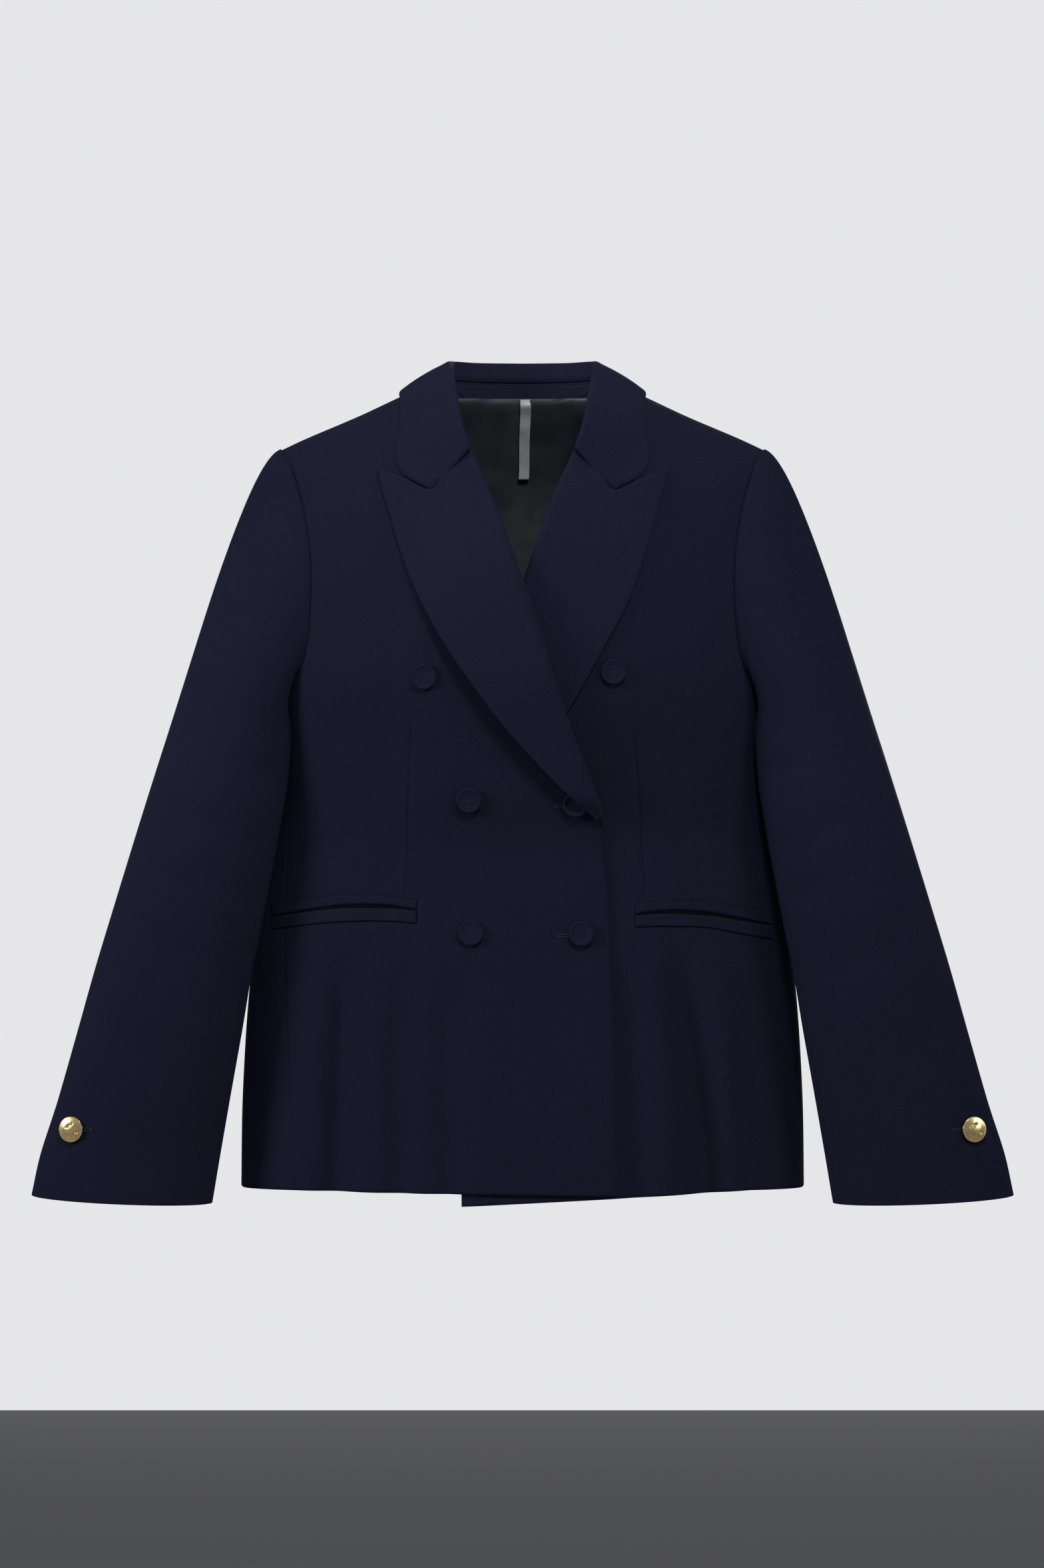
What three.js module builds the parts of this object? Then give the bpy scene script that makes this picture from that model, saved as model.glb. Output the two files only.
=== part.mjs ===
// A double breasted blazer, filled out and hollow, as a scene graph of cloth walls.
// Millimetres. +X is to the wearer's left, +Z is up and the front faces -Y.
// The origin lies between the shoulders, at the height where the collar crosses the shoulder seam.
import * as THREE from "three";

// Driving dimensions
const WALL = 2; // cloth, interlining and facing together
const SEAM = 0.3; // gap between two pieces at a seam
const SLOPE = 0.474; // drop of the shoulder seam for each millimetre outwards
const NECK_X = 66; // neck point, where the shoulder seam starts
const LEVEL_X = 98; // where the shoulder seam passes the height of the origin
const SHOULDER_X = 194.7; // half the width across the shoulders
const SHOULDER_Z = -46;
const UNDERARM_Z = -245;
const HEM_Z = -639.5;
const ROUNDNESS = 2.4; // power of the body's cross-section
const FRONT_FALL = 240; // below the shoulder seam, where the chest is fully deep
const BACK_FALL = 150;
const LINING = 1.5;
const LINING_GAP = 2.6; // the lining hangs a little loose
const LINING_INSET = 1.2;
const LINING_DROP = 3.5;
const LINING_RISE = 20; // the lining ends this far above the hem
const BUTTON_R = 10.2; // 32 ligne
const BRASS_R = 10;

// Short tables, one row for each section, with the column names first
function table(columns, rows) {
  return rows.map((row) => Object.fromEntries(columns.map((name, i) => [name, row[i]])));
}

// Smooth reading of a table between its rows
function read(rows, key, at, column) {
  const rising = rows[rows.length - 1][key] > rows[0][key];
  let i = 0;
  while (i < rows.length - 2 && (rising ? at > rows[i + 1][key] : at < rows[i + 1][key])) i += 1;
  const [a, b] = [rows[i], rows[i + 1]];
  const before = rows[Math.max(0, i - 1)];
  const after = rows[Math.min(rows.length - 1, i + 2)];
  const span = b[key] - a[key];
  const t = Math.min(1, Math.max(0, (at - a[key]) / span));
  const slopeA = ((b[column] - before[column]) / (b[key] - before[key])) * span;
  const slopeB = ((after[column] - a[column]) / (after[key] - a[key])) * span;
  const t2 = t * t;
  const t3 = t2 * t;
  return (
    (2 * t3 - 3 * t2 + 1) * a[column] +
    (t3 - 2 * t2 + t) * slopeA +
    (3 * t2 - 2 * t3) * b[column] +
    (t3 - t2) * slopeB
  );
}

const smooth = (low, high, at) => {
  const t = Math.min(1, Math.max(0, (at - low) / (high - low)));
  return t * t * (3 - 2 * t);
};
const mix = (a, b, t) => a + (b - a) * t;
const steps = (count) => Array.from({ length: count + 1 }, (_, i) => i / count);

const BODY = table(["z", "halfWidth", "front", "back"], [
  [60, 200, 92, 92],
  [-100, 200, 92, 94],
  [-200, 197, 93, 92],
  [-245, 196, 92, 88],
  [-293, 194.5, 86, 79],
  [-350, 198, 79, 75],
  [-400, 207, 80, 79],
  [-464, 217, 83, 88],
  [-566, 225, 87, 93],
  [-660, 226.5, 89, 94],
]);

// Soft troughs that hang from the pockets and the waist: side is -1 in front and 1 behind
const FOLDS = table(["side", "top", "topX", "hemX", "depth", "half"], [
  [-1, -440, -166, -148, 5.5, 17],
  [-1, -450, -118, -108, 2.5, 15],
  [-1, -445, 124, 144, 5.5, 17],
  [-1, -460, 86, 92, 3, 14],
  [1, -400, -128, -112, 4.5, 18],
  [1, -380, 120, 134, 4, 18],
  [1, -430, -42, -50, 2.5, 16],
  [1, -410, 46, 40, 2, 16],
]);

function folds(side, x, z) {
  let sum = 0;
  for (const fold of FOLDS.filter((f) => f.side === side)) {
    const t = (fold.top - z) / (fold.top - HEM_Z);
    const off = (x - mix(fold.topX, fold.hemX, t)) / fold.half;
    sum += fold.depth * smooth(-0.1, 0.55, t) * Math.exp(-off * off);
  }
  return sum;
}

// Depth of the worn body's surface at a place across and up: negative in front, positive behind
function bodyY(side, x, z) {
  const width = read(BODY, "z", z, "halfWidth");
  const depth = read(BODY, "z", z, side < 0 ? "front" : "back");
  const round = (1 - Math.min(1, Math.abs(x) / width) ** ROUNDNESS) ** (1 / ROUNDNESS);
  const seamZ = SLOPE * (LEVEL_X - Math.abs(x));
  const fall = Math.min(1, Math.max(0, (seamZ - z) / (side < 0 ? FRONT_FALL : BACK_FALL)));
  const full = depth * round * Math.sin((Math.PI / 2) * fall ** 0.8);
  return side * (SEAM + full - folds(side, x, z) * smooth(0.2, 0.5, round));
}

// Point on the surface, moved out along its normal; the slopes are taken half a millimetre each way
function bodyPoint(side, x, z, out = 0) {
  const e = 0.5;
  const here = new THREE.Vector3(x, bodyY(side, x, z), z);
  const across = new THREE.Vector3(2 * e, bodyY(side, x + e, z) - bodyY(side, x - e, z), 0);
  const up = new THREE.Vector3(0, bodyY(side, x, z + e) - bodyY(side, x, z - e), 2 * e);
  const normal = across.cross(up).normalize();
  if (normal.y * side < 0) normal.negate();
  return here.addScaledVector(normal, out);
}

// A closed cloth wall: rows of inner points, moved out along the surface's normals by a thickness
// Where ghost is true, the first and last column only steer the normals and are dropped
function wall(grid, thickness, outward, ghost = false) {
  const clamp = (i, count) => Math.min(count - 1, Math.max(0, i));
  const at = (i, j) => grid[clamp(i, grid.length)][clamp(j, grid[0].length)];
  const steer = grid.map((row, i) =>
    row.map((_, j) => {
      const down = at(i + 1, j).clone().sub(at(i - 1, j));
      const across = at(i, j + 1).clone().sub(at(i, j - 1));
      return down.cross(across).normalize();
    }),
  );
  const keep = (row) => (ghost ? row.slice(1, -1) : row);
  const rows = grid.map(keep);
  const normals = steer.map(keep);
  const height = rows.length;
  const width = rows[0].length;
  const middle = [height >> 1, width >> 1];
  const check = normals[middle[0]][middle[1]];
  const wanted = outward(rows[middle[0]][middle[1]]);
  if (check.dot(wanted) < 0) normals.forEach((row) => row.forEach((n) => n.negate()));
  const inner = rows.flat();
  const outer = rows.flatMap((row, i) =>
    row.map((p, j) => {
      const thick = thickness(i / (height - 1), j / (width - 1));
      return p.clone().addScaledVector(normals[i][j], thick);
    }),
  );
  const points = inner.concat(outer);
  const shift = inner.length;
  const index = [];
  const quad = (a, b, c, d) => index.push(a, b, c, a, c, d);
  for (let i = 0; i < height - 1; i += 1) {
    for (let j = 0; j < width - 1; j += 1) {
      const a = i * width + j;
      quad(a, a + 1, a + width + 1, a + width);
      quad(shift + a, shift + a + width, shift + a + width + 1, shift + a + 1);
    }
  }
  for (let j = 0; j < width - 1; j += 1) {
    const last = (height - 1) * width + j;
    quad(j, shift + j, shift + j + 1, j + 1);
    quad(last, last + 1, shift + last + 1, shift + last);
  }
  for (let i = 0; i < height - 1; i += 1) {
    const first = i * width;
    const end = first + width - 1;
    quad(first, first + width, shift + first + width, shift + first);
    quad(end, shift + end, shift + end + width, end + width);
  }
  return closed(points, index);
}

// Geometry of a closed body, turned to face out if its volume comes out negative
function closed(points, index) {
  let volume = 0;
  for (let i = 0; i < index.length; i += 3) {
    const [a, b, c] = [points[index[i]], points[index[i + 1]], points[index[i + 2]]];
    volume += a.dot(b.clone().cross(c));
  }
  if (volume < 0) index.reverse();
  const geometry = new THREE.BufferGeometry().setFromPoints(points);
  geometry.setIndex(index);
  geometry.computeVertexNormals();
  return geometry;
}

const clothThick = () => WALL;
const awayFromAxis = (side) => (p) => new THREE.Vector3(p.x, side * 60, 0);

// Edges of the pieces, read by height, drawn on the wearer's right and mirrored for the left
const ARMHOLE_FRONT = table(["z", "x"], [
  [-46, 194.7],
  [-64, 184.6],
  [-98, 174.9],
  [-133, 169.8],
  [-176, 169.8],
  [-208, 173.5],
  [-230, 181],
  [-245, 189],
]);
const ARMHOLE_BACK = table(["z", "x"], [
  [-46, 194.7],
  [-68, 187],
  [-100, 180],
  [-145, 176],
  [-190, 178],
  [-222, 183],
  [-245, 187],
]);
const SIDE_FRONT_SEAM = table(["z", "x"], [
  [-245, 189],
  [-290, 186.5],
  [-352, 188],
  [-431, 191],
  [-512, 188.5],
  [-582, 185],
  [-639.5, 182.5],
]);
const SIDE_BACK_SEAM = table(["z", "x"], [
  [-245, 187],
  [-300, 180],
  [-380, 176],
  [-512, 176],
  [-639.5, 178],
]);
// The front's free edge: neckline, roll line of the lapel, then the lapped edge down to the hem
const EDGE_TOP_LAYER = table(["z", "x"], [
  [15, 66],
  [-4, 59],
  [-26, 52],
  [-45, 45.5],
  [-87, 27],
  [-173, -2.7],
  [-264, -32],
  [-329, -57.5],
  [-360, -63.5],
  [-405, -67.5],
  [-500, -71.5],
  [-643.5, -75],
]);
const EDGE_UNDER_LAYER = table(["z", "x"], [
  [15, 66],
  [-4, 59],
  [-26, 52],
  [-45, 45.5],
  [-87, 27],
  [-173, -2.7],
  [-264, -32],
  [-329, -52],
  [-360, -52],
  [-405, -51],
  [-500, -49.5],
  [-649, -48.5],
]);
const CHEST_ROWS = 8;
const SKIRT_ROWS = 12;
const skirtZ = steps(SKIRT_ROWS).map((t) => mix(UNDERARM_Z, HEM_Z, t));
const chestZ = steps(CHEST_ROWS).map((t) => mix(SHOULDER_Z, UNDERARM_Z, t));

// How far the top layer stands off the body, so that it clears the layer and the lapel under it
const LAP_LOW = WALL + 1.4;
const LAP_HIGH = 9;
function lap(x, z) {
  const over = mix(LAP_LOW, LAP_HIGH, smooth(-372, -318, z));
  return over * smooth(-112, -72, x) * smooth(-70, -150, z);
}

// Front panel: hand -1 is the wearer's right, the top layer; 1 is the wearer's left, the under layer
const FRONT_COLUMNS = 12;
function frontPanel(hand) {
  const edge = hand < 0 ? EDGE_TOP_LAYER : EDGE_UNDER_LAYER;
  const edgeHem = edge[edge.length - 1].z;
  const rows = [];
  const outerZ = chestZ.concat(skirtZ.slice(1));
  outerZ.forEach((z, i) => {
    const chest = i <= CHEST_ROWS;
    const innerZ = chest
      ? mix(edge[0].z, UNDERARM_Z, i / CHEST_ROWS)
      : mix(UNDERARM_Z, edgeHem, (z - UNDERARM_Z) / (HEM_Z - UNDERARM_Z));
    const outerX = read(chest ? ARMHOLE_FRONT : SIDE_FRONT_SEAM, "z", z, "x") - SEAM / 2;
    const innerX = read(edge, "z", innerZ, "x");
    const row = steps(FRONT_COLUMNS).map((u) => {
      const x = hand * mix(innerX, outerX, u);
      const height = mix(innerZ, z, u);
      return bodyPoint(-1, x, height, hand < 0 ? lap(x, height) : 0);
    });
    rows.push(row);
  });
  return wall(rows, clothThick, awayFromAxis(-1));
}

// Point of the body's cross-section by angle, 0 at the side, negative in front and positive behind
function sectionPoint(hand, angle, z) {
  const width = read(BODY, "z", z, "halfWidth");
  const side = angle < 0 ? -1 : 1;
  const depth = read(BODY, "z", z, side < 0 ? "front" : "back");
  const x = width * Math.cos(angle) ** (2 / ROUNDNESS);
  const y = SEAM * Math.abs(Math.sin(angle)) + depth * Math.abs(Math.sin(angle)) ** (2 / ROUNDNESS);
  return new THREE.Vector3(hand * x, side * y, z);
}
function sectionAngle(side, x, z) {
  const width = read(BODY, "z", z, "halfWidth");
  return side * Math.acos(Math.min(1, x / width) ** (ROUNDNESS / 2));
}

const SIDE_COLUMNS = 7;
const UNDERARM_DIP = 9;
function sidePanel(hand) {
  const rows = skirtZ.map((z, i) =>
    steps(SIDE_COLUMNS).map((u) => {
      const dip = UNDERARM_DIP * Math.sin(Math.PI * u) * (1 - smooth(0, 4, i));
      const height = z - dip;
      const from = sectionAngle(-1, read(SIDE_FRONT_SEAM, "z", z, "x") + SEAM / 2, z);
      const to = sectionAngle(1, read(SIDE_BACK_SEAM, "z", z, "x") + SEAM / 2, z);
      return sectionPoint(hand, mix(from, to, u), height);
    }),
  );
  return wall(rows, clothThick, (p) => new THREE.Vector3(p.x, 0, 0));
}

const BACK_NECK = table(["x", "z"], [
  [0, -8],
  [30, -4.5],
  [50, 3.5],
  [66, 15],
]);
const BACK_COLUMNS = 8;
function backRows(hand, out, inset, drop, hemRise) {
  const outerZ = chestZ.concat(skirtZ.slice(1));
  const hem = HEM_Z + hemRise;
  return outerZ.map((level, i) => {
    const chest = i <= CHEST_ROWS;
    const z = chest ? level : mix(UNDERARM_Z, hem, (level - UNDERARM_Z) / (HEM_Z - UNDERARM_Z));
    const outerX = read(chest ? ARMHOLE_BACK : SIDE_BACK_SEAM, "z", z, "x");
    const down = Math.min(1, i / CHEST_ROWS);
    return steps(BACK_COLUMNS).map((u) => {
      const x = mix(inset, outerX - inset, u);
      const shoulder = (x < NECK_X ? read(BACK_NECK, "x", x, "z") : SLOPE * (LEVEL_X - x)) - drop;
      const height = chest ? mix(shoulder, UNDERARM_Z, down) : z;
      return bodyPoint(1, hand * x, height, out);
    });
  });
}
const backPanel = (hand) => wall(backRows(hand, 0, SEAM / 2, 0, 0), clothThick, awayFromAxis(1));
const liningBack = (hand) =>
  wall(
    backRows(hand, -LINING - LINING_GAP, LINING_INSET, LINING_DROP, LINING_RISE),
    () => LINING,
    awayFromAxis(1),
  );

// Armhole: a closed loop, down the front, under the arm and up the back
const ARMHOLE_OFF = WALL + 0.9;
const ARMHOLE_SIDE = 1.5; // the sleeve head starts this far outside the shoulder's end
function armhole(hand) {
  const points = [];
  for (const z of [-46, -70, -100, -133, -176, -208, -230]) {
    points.push(bodyPoint(-1, read(ARMHOLE_FRONT, "z", z, "x"), z, ARMHOLE_OFF));
  }
  const top = points[0];
  top.set(SHOULDER_X, 0, SHOULDER_Z + ARMHOLE_OFF + 0.4);
  for (const u of [0.08, 0.5, 0.92]) {
    const z = UNDERARM_Z - UNDERARM_DIP * Math.sin(Math.PI * u);
    const from = sectionAngle(-1, ARMHOLE_FRONT[7].x, z);
    const to = sectionAngle(1, ARMHOLE_BACK[6].x, z);
    const p = sectionPoint(1, mix(from, to, u), z);
    points.push(p.multiply(new THREE.Vector3(1 + ARMHOLE_OFF / p.x, 1, 1)));
  }
  for (const z of [-222, -190, -145, -100, -70]) {
    points.push(bodyPoint(1, read(ARMHOLE_BACK, "z", z, "x"), z, ARMHOLE_OFF));
  }
  points.forEach((p) => {
    p.x += ARMHOLE_SIDE * smooth(-170, -60, p.z);
  });
  const loop = new THREE.CatmullRomCurve3(points, true, "centripetal");
  return (u) => loop.getPointAt(u - Math.floor(u)).multiply(new THREE.Vector3(hand, 1, 1));
}

// Sleeve sections: outer and inner edge seen from the front, and how deep and how far forward each is
const SLEEVE = table(["z", "outer", "inner", "halfDepth", "middle"], [
  [-272, 286, 182.5, 45, -26],
  [-300, 294.5, 187, 43, -34],
  [-340, 306.5, 193.5, 40.5, -44],
  [-380, 318.5, 200.8, 38, -51],
  [-422, 331, 208.6, 35.5, -56],
  [-464, 343.5, 217, 33, -59],
  [-512, 357, 225, 30, -60],
  [-566, 372.5, 235, 27, -59],
  [-610, 386.5, 243, 25, -57],
  [-645, 394, 249, 24, -56],
]);
const CLEAR_TOP = 4.3;
const CLEAR_LOW = 6.5;
function sleeveRing(hand, angle, z) {
  const outer = read(SLEEVE, "z", z, "outer");
  const inner = read(SLEEVE, "z", z, "inner");
  const depth = read(SLEEVE, "z", z, "halfDepth");
  const p = new THREE.Vector3(
    (outer + inner) / 2 + ((outer - inner) / 2) * Math.cos(angle),
    read(SLEEVE, "z", z, "middle") - depth * Math.sin(angle),
    z,
  );
  clear(p, mix(CLEAR_TOP, CLEAR_LOW, smooth(-262, -330, z)));
  p.x *= hand;
  return p;
}
// Moves a point out of the body's cross-section, to a clearance beyond its outer face
function clear(p, gap) {
  const width = read(BODY, "z", p.z, "halfWidth") + gap;
  const depth = read(BODY, "z", p.z, p.y < 0 ? "front" : "back") + gap;
  const inside = (Math.abs(p.x) / width) ** ROUNDNESS + (Math.abs(p.y) / depth) ** ROUNDNESS;
  if (inside < 1) {
    const grow = inside ** (-1 / ROUNDNESS);
    p.x *= grow;
    p.y *= grow;
  }
}

const CAP_ROWS = 6;
const SLEEVE_ROWS = 9;
const CAP_END = SLEEVE[0].z;
const CUFF_Z = SLEEVE[SLEEVE.length - 1].z;
const UNDERARM_CLEAR = -225; // below this the sleeve is kept off the side panel
const CAP_LEAVE = 0.1;
const CAP_ARRIVE = 0.42;
const CUFF_START = -500;
// The cuff's edge lies square to the slanting sleeve, so it hangs lower inside and in front
const cuffDrop = (angle) => 1.5 - 3 * Math.cos(angle) + 3.5 * Math.max(0, Math.sin(angle));
// Point of the sleeve: turn 0 is the top and outer line, 0.25 the front, 0.5 the inner line, 0.75 the back
function sleevePoint(hand, turn, down, loop) {
  const angle = 2 * Math.PI * turn;
  if (down >= 1) {
    const level = mix(CAP_END, CUFF_Z, down - 1);
    const p = sleeveRing(hand, angle, level);
    p.z -= cuffDrop(angle) * smooth(CUFF_START, CUFF_Z, level);
    return p;
  }
  const start = loop(turn);
  const end = sleeveRing(hand, angle, CAP_END);
  const below = sleeveRing(hand, angle, CAP_END - 20);
  const chord = start.distanceTo(end);
  const radial = new THREE.Vector3(0, -Math.sin(angle), 0.2 * Math.cos(angle));
  const leave = new THREE.Vector3(hand, 0, -0.4).addScaledVector(radial, 0.45).normalize();
  const arrive = end.clone().sub(below).normalize();
  const curve = new THREE.CubicBezierCurve3(
    start,
    start.clone().addScaledVector(leave, CAP_LEAVE * chord),
    end.clone().addScaledVector(arrive, CAP_ARRIVE * chord),
    end,
  );
  const p = curve.getPoint(down);
  if (down > 0 && p.z < UNDERARM_CLEAR) clear(p, CLEAR_TOP);
  return p;
}
function sleevePiece(hand, from, to, columns) {
  const loop = armhole(hand);
  const downs = steps(CAP_ROWS).concat(steps(SLEEVE_ROWS).slice(1).map((t) => 1 + t));
  const trim = SEAM / 2 / 300;
  const across = [-1 / columns, ...steps(columns), 1 + 1 / columns];
  const rows = downs.map((down) =>
    across.map((u) => sleevePoint(hand, mix(from + trim, to - trim, u), down, loop)),
  );
  const middle = Math.PI * (from + to);
  const inward = new THREE.Vector3(-hand * Math.cos(middle), Math.sin(middle), 0);
  return wall(rows, clothThick, () => inward, true);
}
const UNDER_FROM = 0.36; // the sleeve's front seam lies towards the body
const UNDER_TO = 0.76; // the elbow seam lies behind
const underSleeve = (hand) => sleevePiece(hand, UNDER_FROM, UNDER_TO, 9);
const upperSleeve = (hand) => sleevePiece(hand, UNDER_TO - 1, UNDER_FROM, 13);

// Lapel: from the roll line back over the front, by height along the roll and along the outer edge
const LAPEL_ROLL = table(["t", "x", "z"], [
  [0, 45, -46],
  [0.16, 27, -87],
  [0.46, -2.7, -173],
  [0.76, -32, -264],
  [1, -57, -327],
]);
const LAPEL_EDGE = table(["t", "x", "z"], [
  [0, 116.4, -60.5],
  [0.1, 110, -84],
  [0.25, 95, -124],
  [0.4, 77.6, -164],
  [0.55, 56.5, -201],
  [0.7, 32, -238],
  [0.85, -6, -279],
  [1, -54.5, -329],
]);
const GORGE = table(["u", "x", "z"], [
  [0, 44, -47.6],
  [0.27, 61.5, -66.5],
  [0.42, 72, -79.6],
  [0.68, 96, -68.6],
  [1, 116.4, -60.5],
]);
const LAPEL_ROWS = 13;
const LAPEL_COLUMNS = 7;
const GORGE_REACH = 0.42; // how far down the notch's bend is felt, as a share of the lapel
const ROLL_ANGLES = [-60, -10, 45]; // the turned edge, in degrees round the front's own edge
const ROLL_START = 1.4; // its radius where it starts, inside the front's edge
const ROLL_REACH = 3.2; // how far at most it stands beyond that edge
const ROLL_CLEAR = 0.35;
function lapelPlace(u, t) {
  const roll = ["x", "z"].map((c) => read(LAPEL_ROLL, "t", t, c));
  const edge = ["x", "z"].map((c) => read(LAPEL_EDGE, "t", t, c));
  const bend = ["x", "z"].map((c, i) => {
    const straight = mix(LAPEL_ROLL[0][c], LAPEL_EDGE[0][c], u);
    const dip = (read(GORGE, "u", u, c) - straight) * (1 - smooth(0, GORGE_REACH, t));
    return dip + mix(roll[i], edge[i], u);
  });
  return bend;
}
// Rise of the lapel's under face over the front's inner face: softly rolled towards the break
const ROLL_SOFT = { "-1": 5.6, 1: 0 }; // the under layer's lapel lies flat beneath the top layer
const LAPEL_BELLY = { "-1": 1.6, 1: 0.8 };
const LAPEL_GAP = 1.4; // air between the front and the lapel that lies on it
function lapelRise(hand, u, t) {
  const stand = ROLL_SOFT[hand] * smooth(0.35, 0.9, t);
  const belly = LAPEL_BELLY[hand] * Math.sin(Math.PI * u) * (1 - t);
  return WALL + LAPEL_GAP + stand * mix(1, 0.75, u) + belly;
}
function lapelPoint(hand, u, t) {
  const [x, z] = lapelPlace(u, t);
  const layer = hand < 0 ? lap(hand * x, z) : 0;
  return bodyPoint(-1, hand * x, z, layer + lapelRise(hand, u, t));
}
function lapel(hand) {
  const rows = steps(LAPEL_ROWS).map((t) => {
    const top = lapelPoint(hand, 0, t);
    const next = lapelPoint(hand, 0.1, t);
    const along = next.clone().sub(top).normalize();
    const [x, z] = lapelPlace(0, t);
    const layer = hand < 0 ? lap(hand * x, z) : 0;
    const low = bodyPoint(-1, hand * x, z, layer + WALL / 2);
    const up = top.clone().sub(low);
    const rise = up.length();
    up.normalize();
    const rolled = ROLL_ANGLES.map((degrees) => {
      const angle = THREE.MathUtils.degToRad(degrees);
      const radius = mix(ROLL_START, rise, smooth(ROLL_ANGLES[0], 90, degrees));
      return low
        .clone()
        .addScaledVector(along, -ROLL_CLEAR - Math.min(radius, ROLL_REACH) * Math.cos(angle))
        .addScaledVector(up, radius * Math.sin(angle));
    });
    const flat = steps(LAPEL_COLUMNS).map((u) => lapelPoint(hand, u, t));
    return rolled.concat(flat);
  });
  return wall(rows, clothThick, awayFromAxis(-1));
}

// Collar: the stand rises from the neckline to the fold, and the fall turns down from there
const COLLAR = table(
  ["t", "baseX", "baseY", "baseZ", "foldX", "foldY", "foldZ", "edgeX", "edgeY", "edgeZ"],
  [
    [0, 46.5, -54, -46, 44.5, -60, -42, 73, -60, -75.6],
    [0.12, 49.5, -42, -27, 50, -50, -25, 101, -38, -61],
    [0.24, 53.5, -27, -6, 54.5, -30, -2, 97.5, -28, -31],
    [0.36, 57, -10, 10, 58, -6, 17, 97.5, -9, -4],
    [0.5, 57, 8, 14, 60.5, 13, 26.5, 98.5, 12, 4],
    [0.66, 50, 26, 7, 55, 38, 27, 88, 48, -7],
    [0.82, 34, 44, -1, 36, 59, 24.5, 55, 78, -17],
    [1, 0, 53.5, -4, 0, 67, 23.5, 0, 88, -21],
  ],
);
const COLLAR_COLUMNS = 11;
// Places round the neck, from the wearer's right front end to the left one
const roundNeck = (start) =>
  steps(2 * COLLAR_COLUMNS).map((s) => ({
    hand: s > 0.5 ? 1 : -1,
    t: mix(start, 1, 1 - Math.abs(2 * s - 1)),
  }));
function collarLine(prefix, place) {
  const [x, y, z] = ["X", "Y", "Z"].map((axis) => read(COLLAR, "t", place.t, prefix + axis));
  return new THREE.Vector3(place.hand * x, y, z);
}
const STAND_ROWS = 4;
const STAND_START = 0.14;
const STAND_TOP = 0.84; // share of the way up to the fold, under the turn of the fall
const STAND_WALL = 1.2;
function collarStand() {
  const rows = roundNeck(STAND_START).map((place) => {
    const base = collarLine("base", place);
    const fold = collarLine("fold", place);
    return steps(STAND_ROWS).map((u) => base.clone().lerp(fold, mix(0.06, STAND_TOP, u)));
  });
  return wall(rows, () => STAND_WALL, (p) => new THREE.Vector3(p.x, p.y, 0));
}
// Keeps a point of the fall off the shoulders: lifted near the shoulder seam, moved out elsewhere
const FALL_OFF = 6.1;
const LIFT_DEPTH = 26;
function overShoulder(p) {
  const side = p.y < 0 ? -1 : 1;
  if (Math.abs(p.y) < LIFT_DEPTH) {
    while (Math.abs(bodyY(side, p.x, p.z - FALL_OFF)) > Math.abs(p.y) + SEAM) p.z += 0.25;
  }
  const limit = Math.abs(bodyY(side, p.x, p.z)) + (Math.abs(p.y) < LIFT_DEPTH ? 0 : FALL_OFF);
  if (Math.abs(p.y) < limit) p.y = side * limit;
  return p;
}
const FALL_ROWS = 7;
const FALL_BACK = 0.13; // share of the leaf's width that lies inside the fold line
const FALL_BELLY = 2.4; // how far the leaf arches over the stand
function collarFall() {
  const rows = roundNeck(0).map((place) => {
    const fold = collarLine("fold", place);
    const edge = collarLine("edge", place);
    const base = collarLine("base", place);
    const lift = fold.clone().sub(base).normalize();
    return steps(FALL_ROWS).map((u) => {
      const share = smooth(-0.35, 1.2, u) * (1 + FALL_BACK) - FALL_BACK;
      const arch = Math.sin(Math.PI * Math.min(1, u * 1.15 + 0.1)) * smooth(0, 0.3, place.t);
      const p = fold.clone().lerp(edge, share).addScaledVector(lift, FALL_BELLY * arch);
      return overShoulder(p);
    });
  });
  return wall(rows, clothThick, (p) => new THREE.Vector3(p.x, p.y, 60));
}

// Pocket welts: two narrow strips on each side, one above and one below the slit
const POCKET = {
  "-1": table(["u", "x", "top", "slit", "bottom"], [
    [0, -84.5, -406.5, -414.5, -425],
    [0.2, -105, -403.5, -412, -423.5],
    [0.5, -136, -402.5, -411.5, -423.5],
    [0.75, -163, -404.5, -414, -425.5],
    [1, -200, -409, -420.5, -430.5],
  ]),
  1: table(["u", "x", "top", "slit", "bottom"], [
    [0, 90, -409, -418, -428],
    [0.25, 115, -407.5, -416, -427.5],
    [0.5, 146, -408, -417.5, -428.5],
    [0.75, 175, -412.5, -422.5, -434],
    [1, 199, -417, -427.5, -438.5],
  ]),
};
const WELT_COLUMNS = 10;
const WELT_ROWS = 3;
const WELT_OFF = WALL + 1;
const SLIT = 0.8;
function welt(hand, upper) {
  const rows = steps(WELT_COLUMNS).map((u) => {
    const place = POCKET[hand];
    const x = read(place, "u", u, "x");
    const slit = read(place, "u", u, "slit");
    const near = slit + (upper ? SLIT : -SLIT);
    const far = read(place, "u", u, upper ? "top" : "bottom");
    return steps(WELT_ROWS).map((v) => {
      const z = mix(near, far, v);
      return bodyPoint(-1, x, z, WELT_OFF + (hand < 0 ? lap(x, z) : 0));
    });
  });
  const pillow = (along, across) => 0.9 + 1.1 * Math.sin(Math.PI * mix(0.12, 0.88, across));
  return wall(rows, pillow, awayFromAxis(-1));
}

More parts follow.
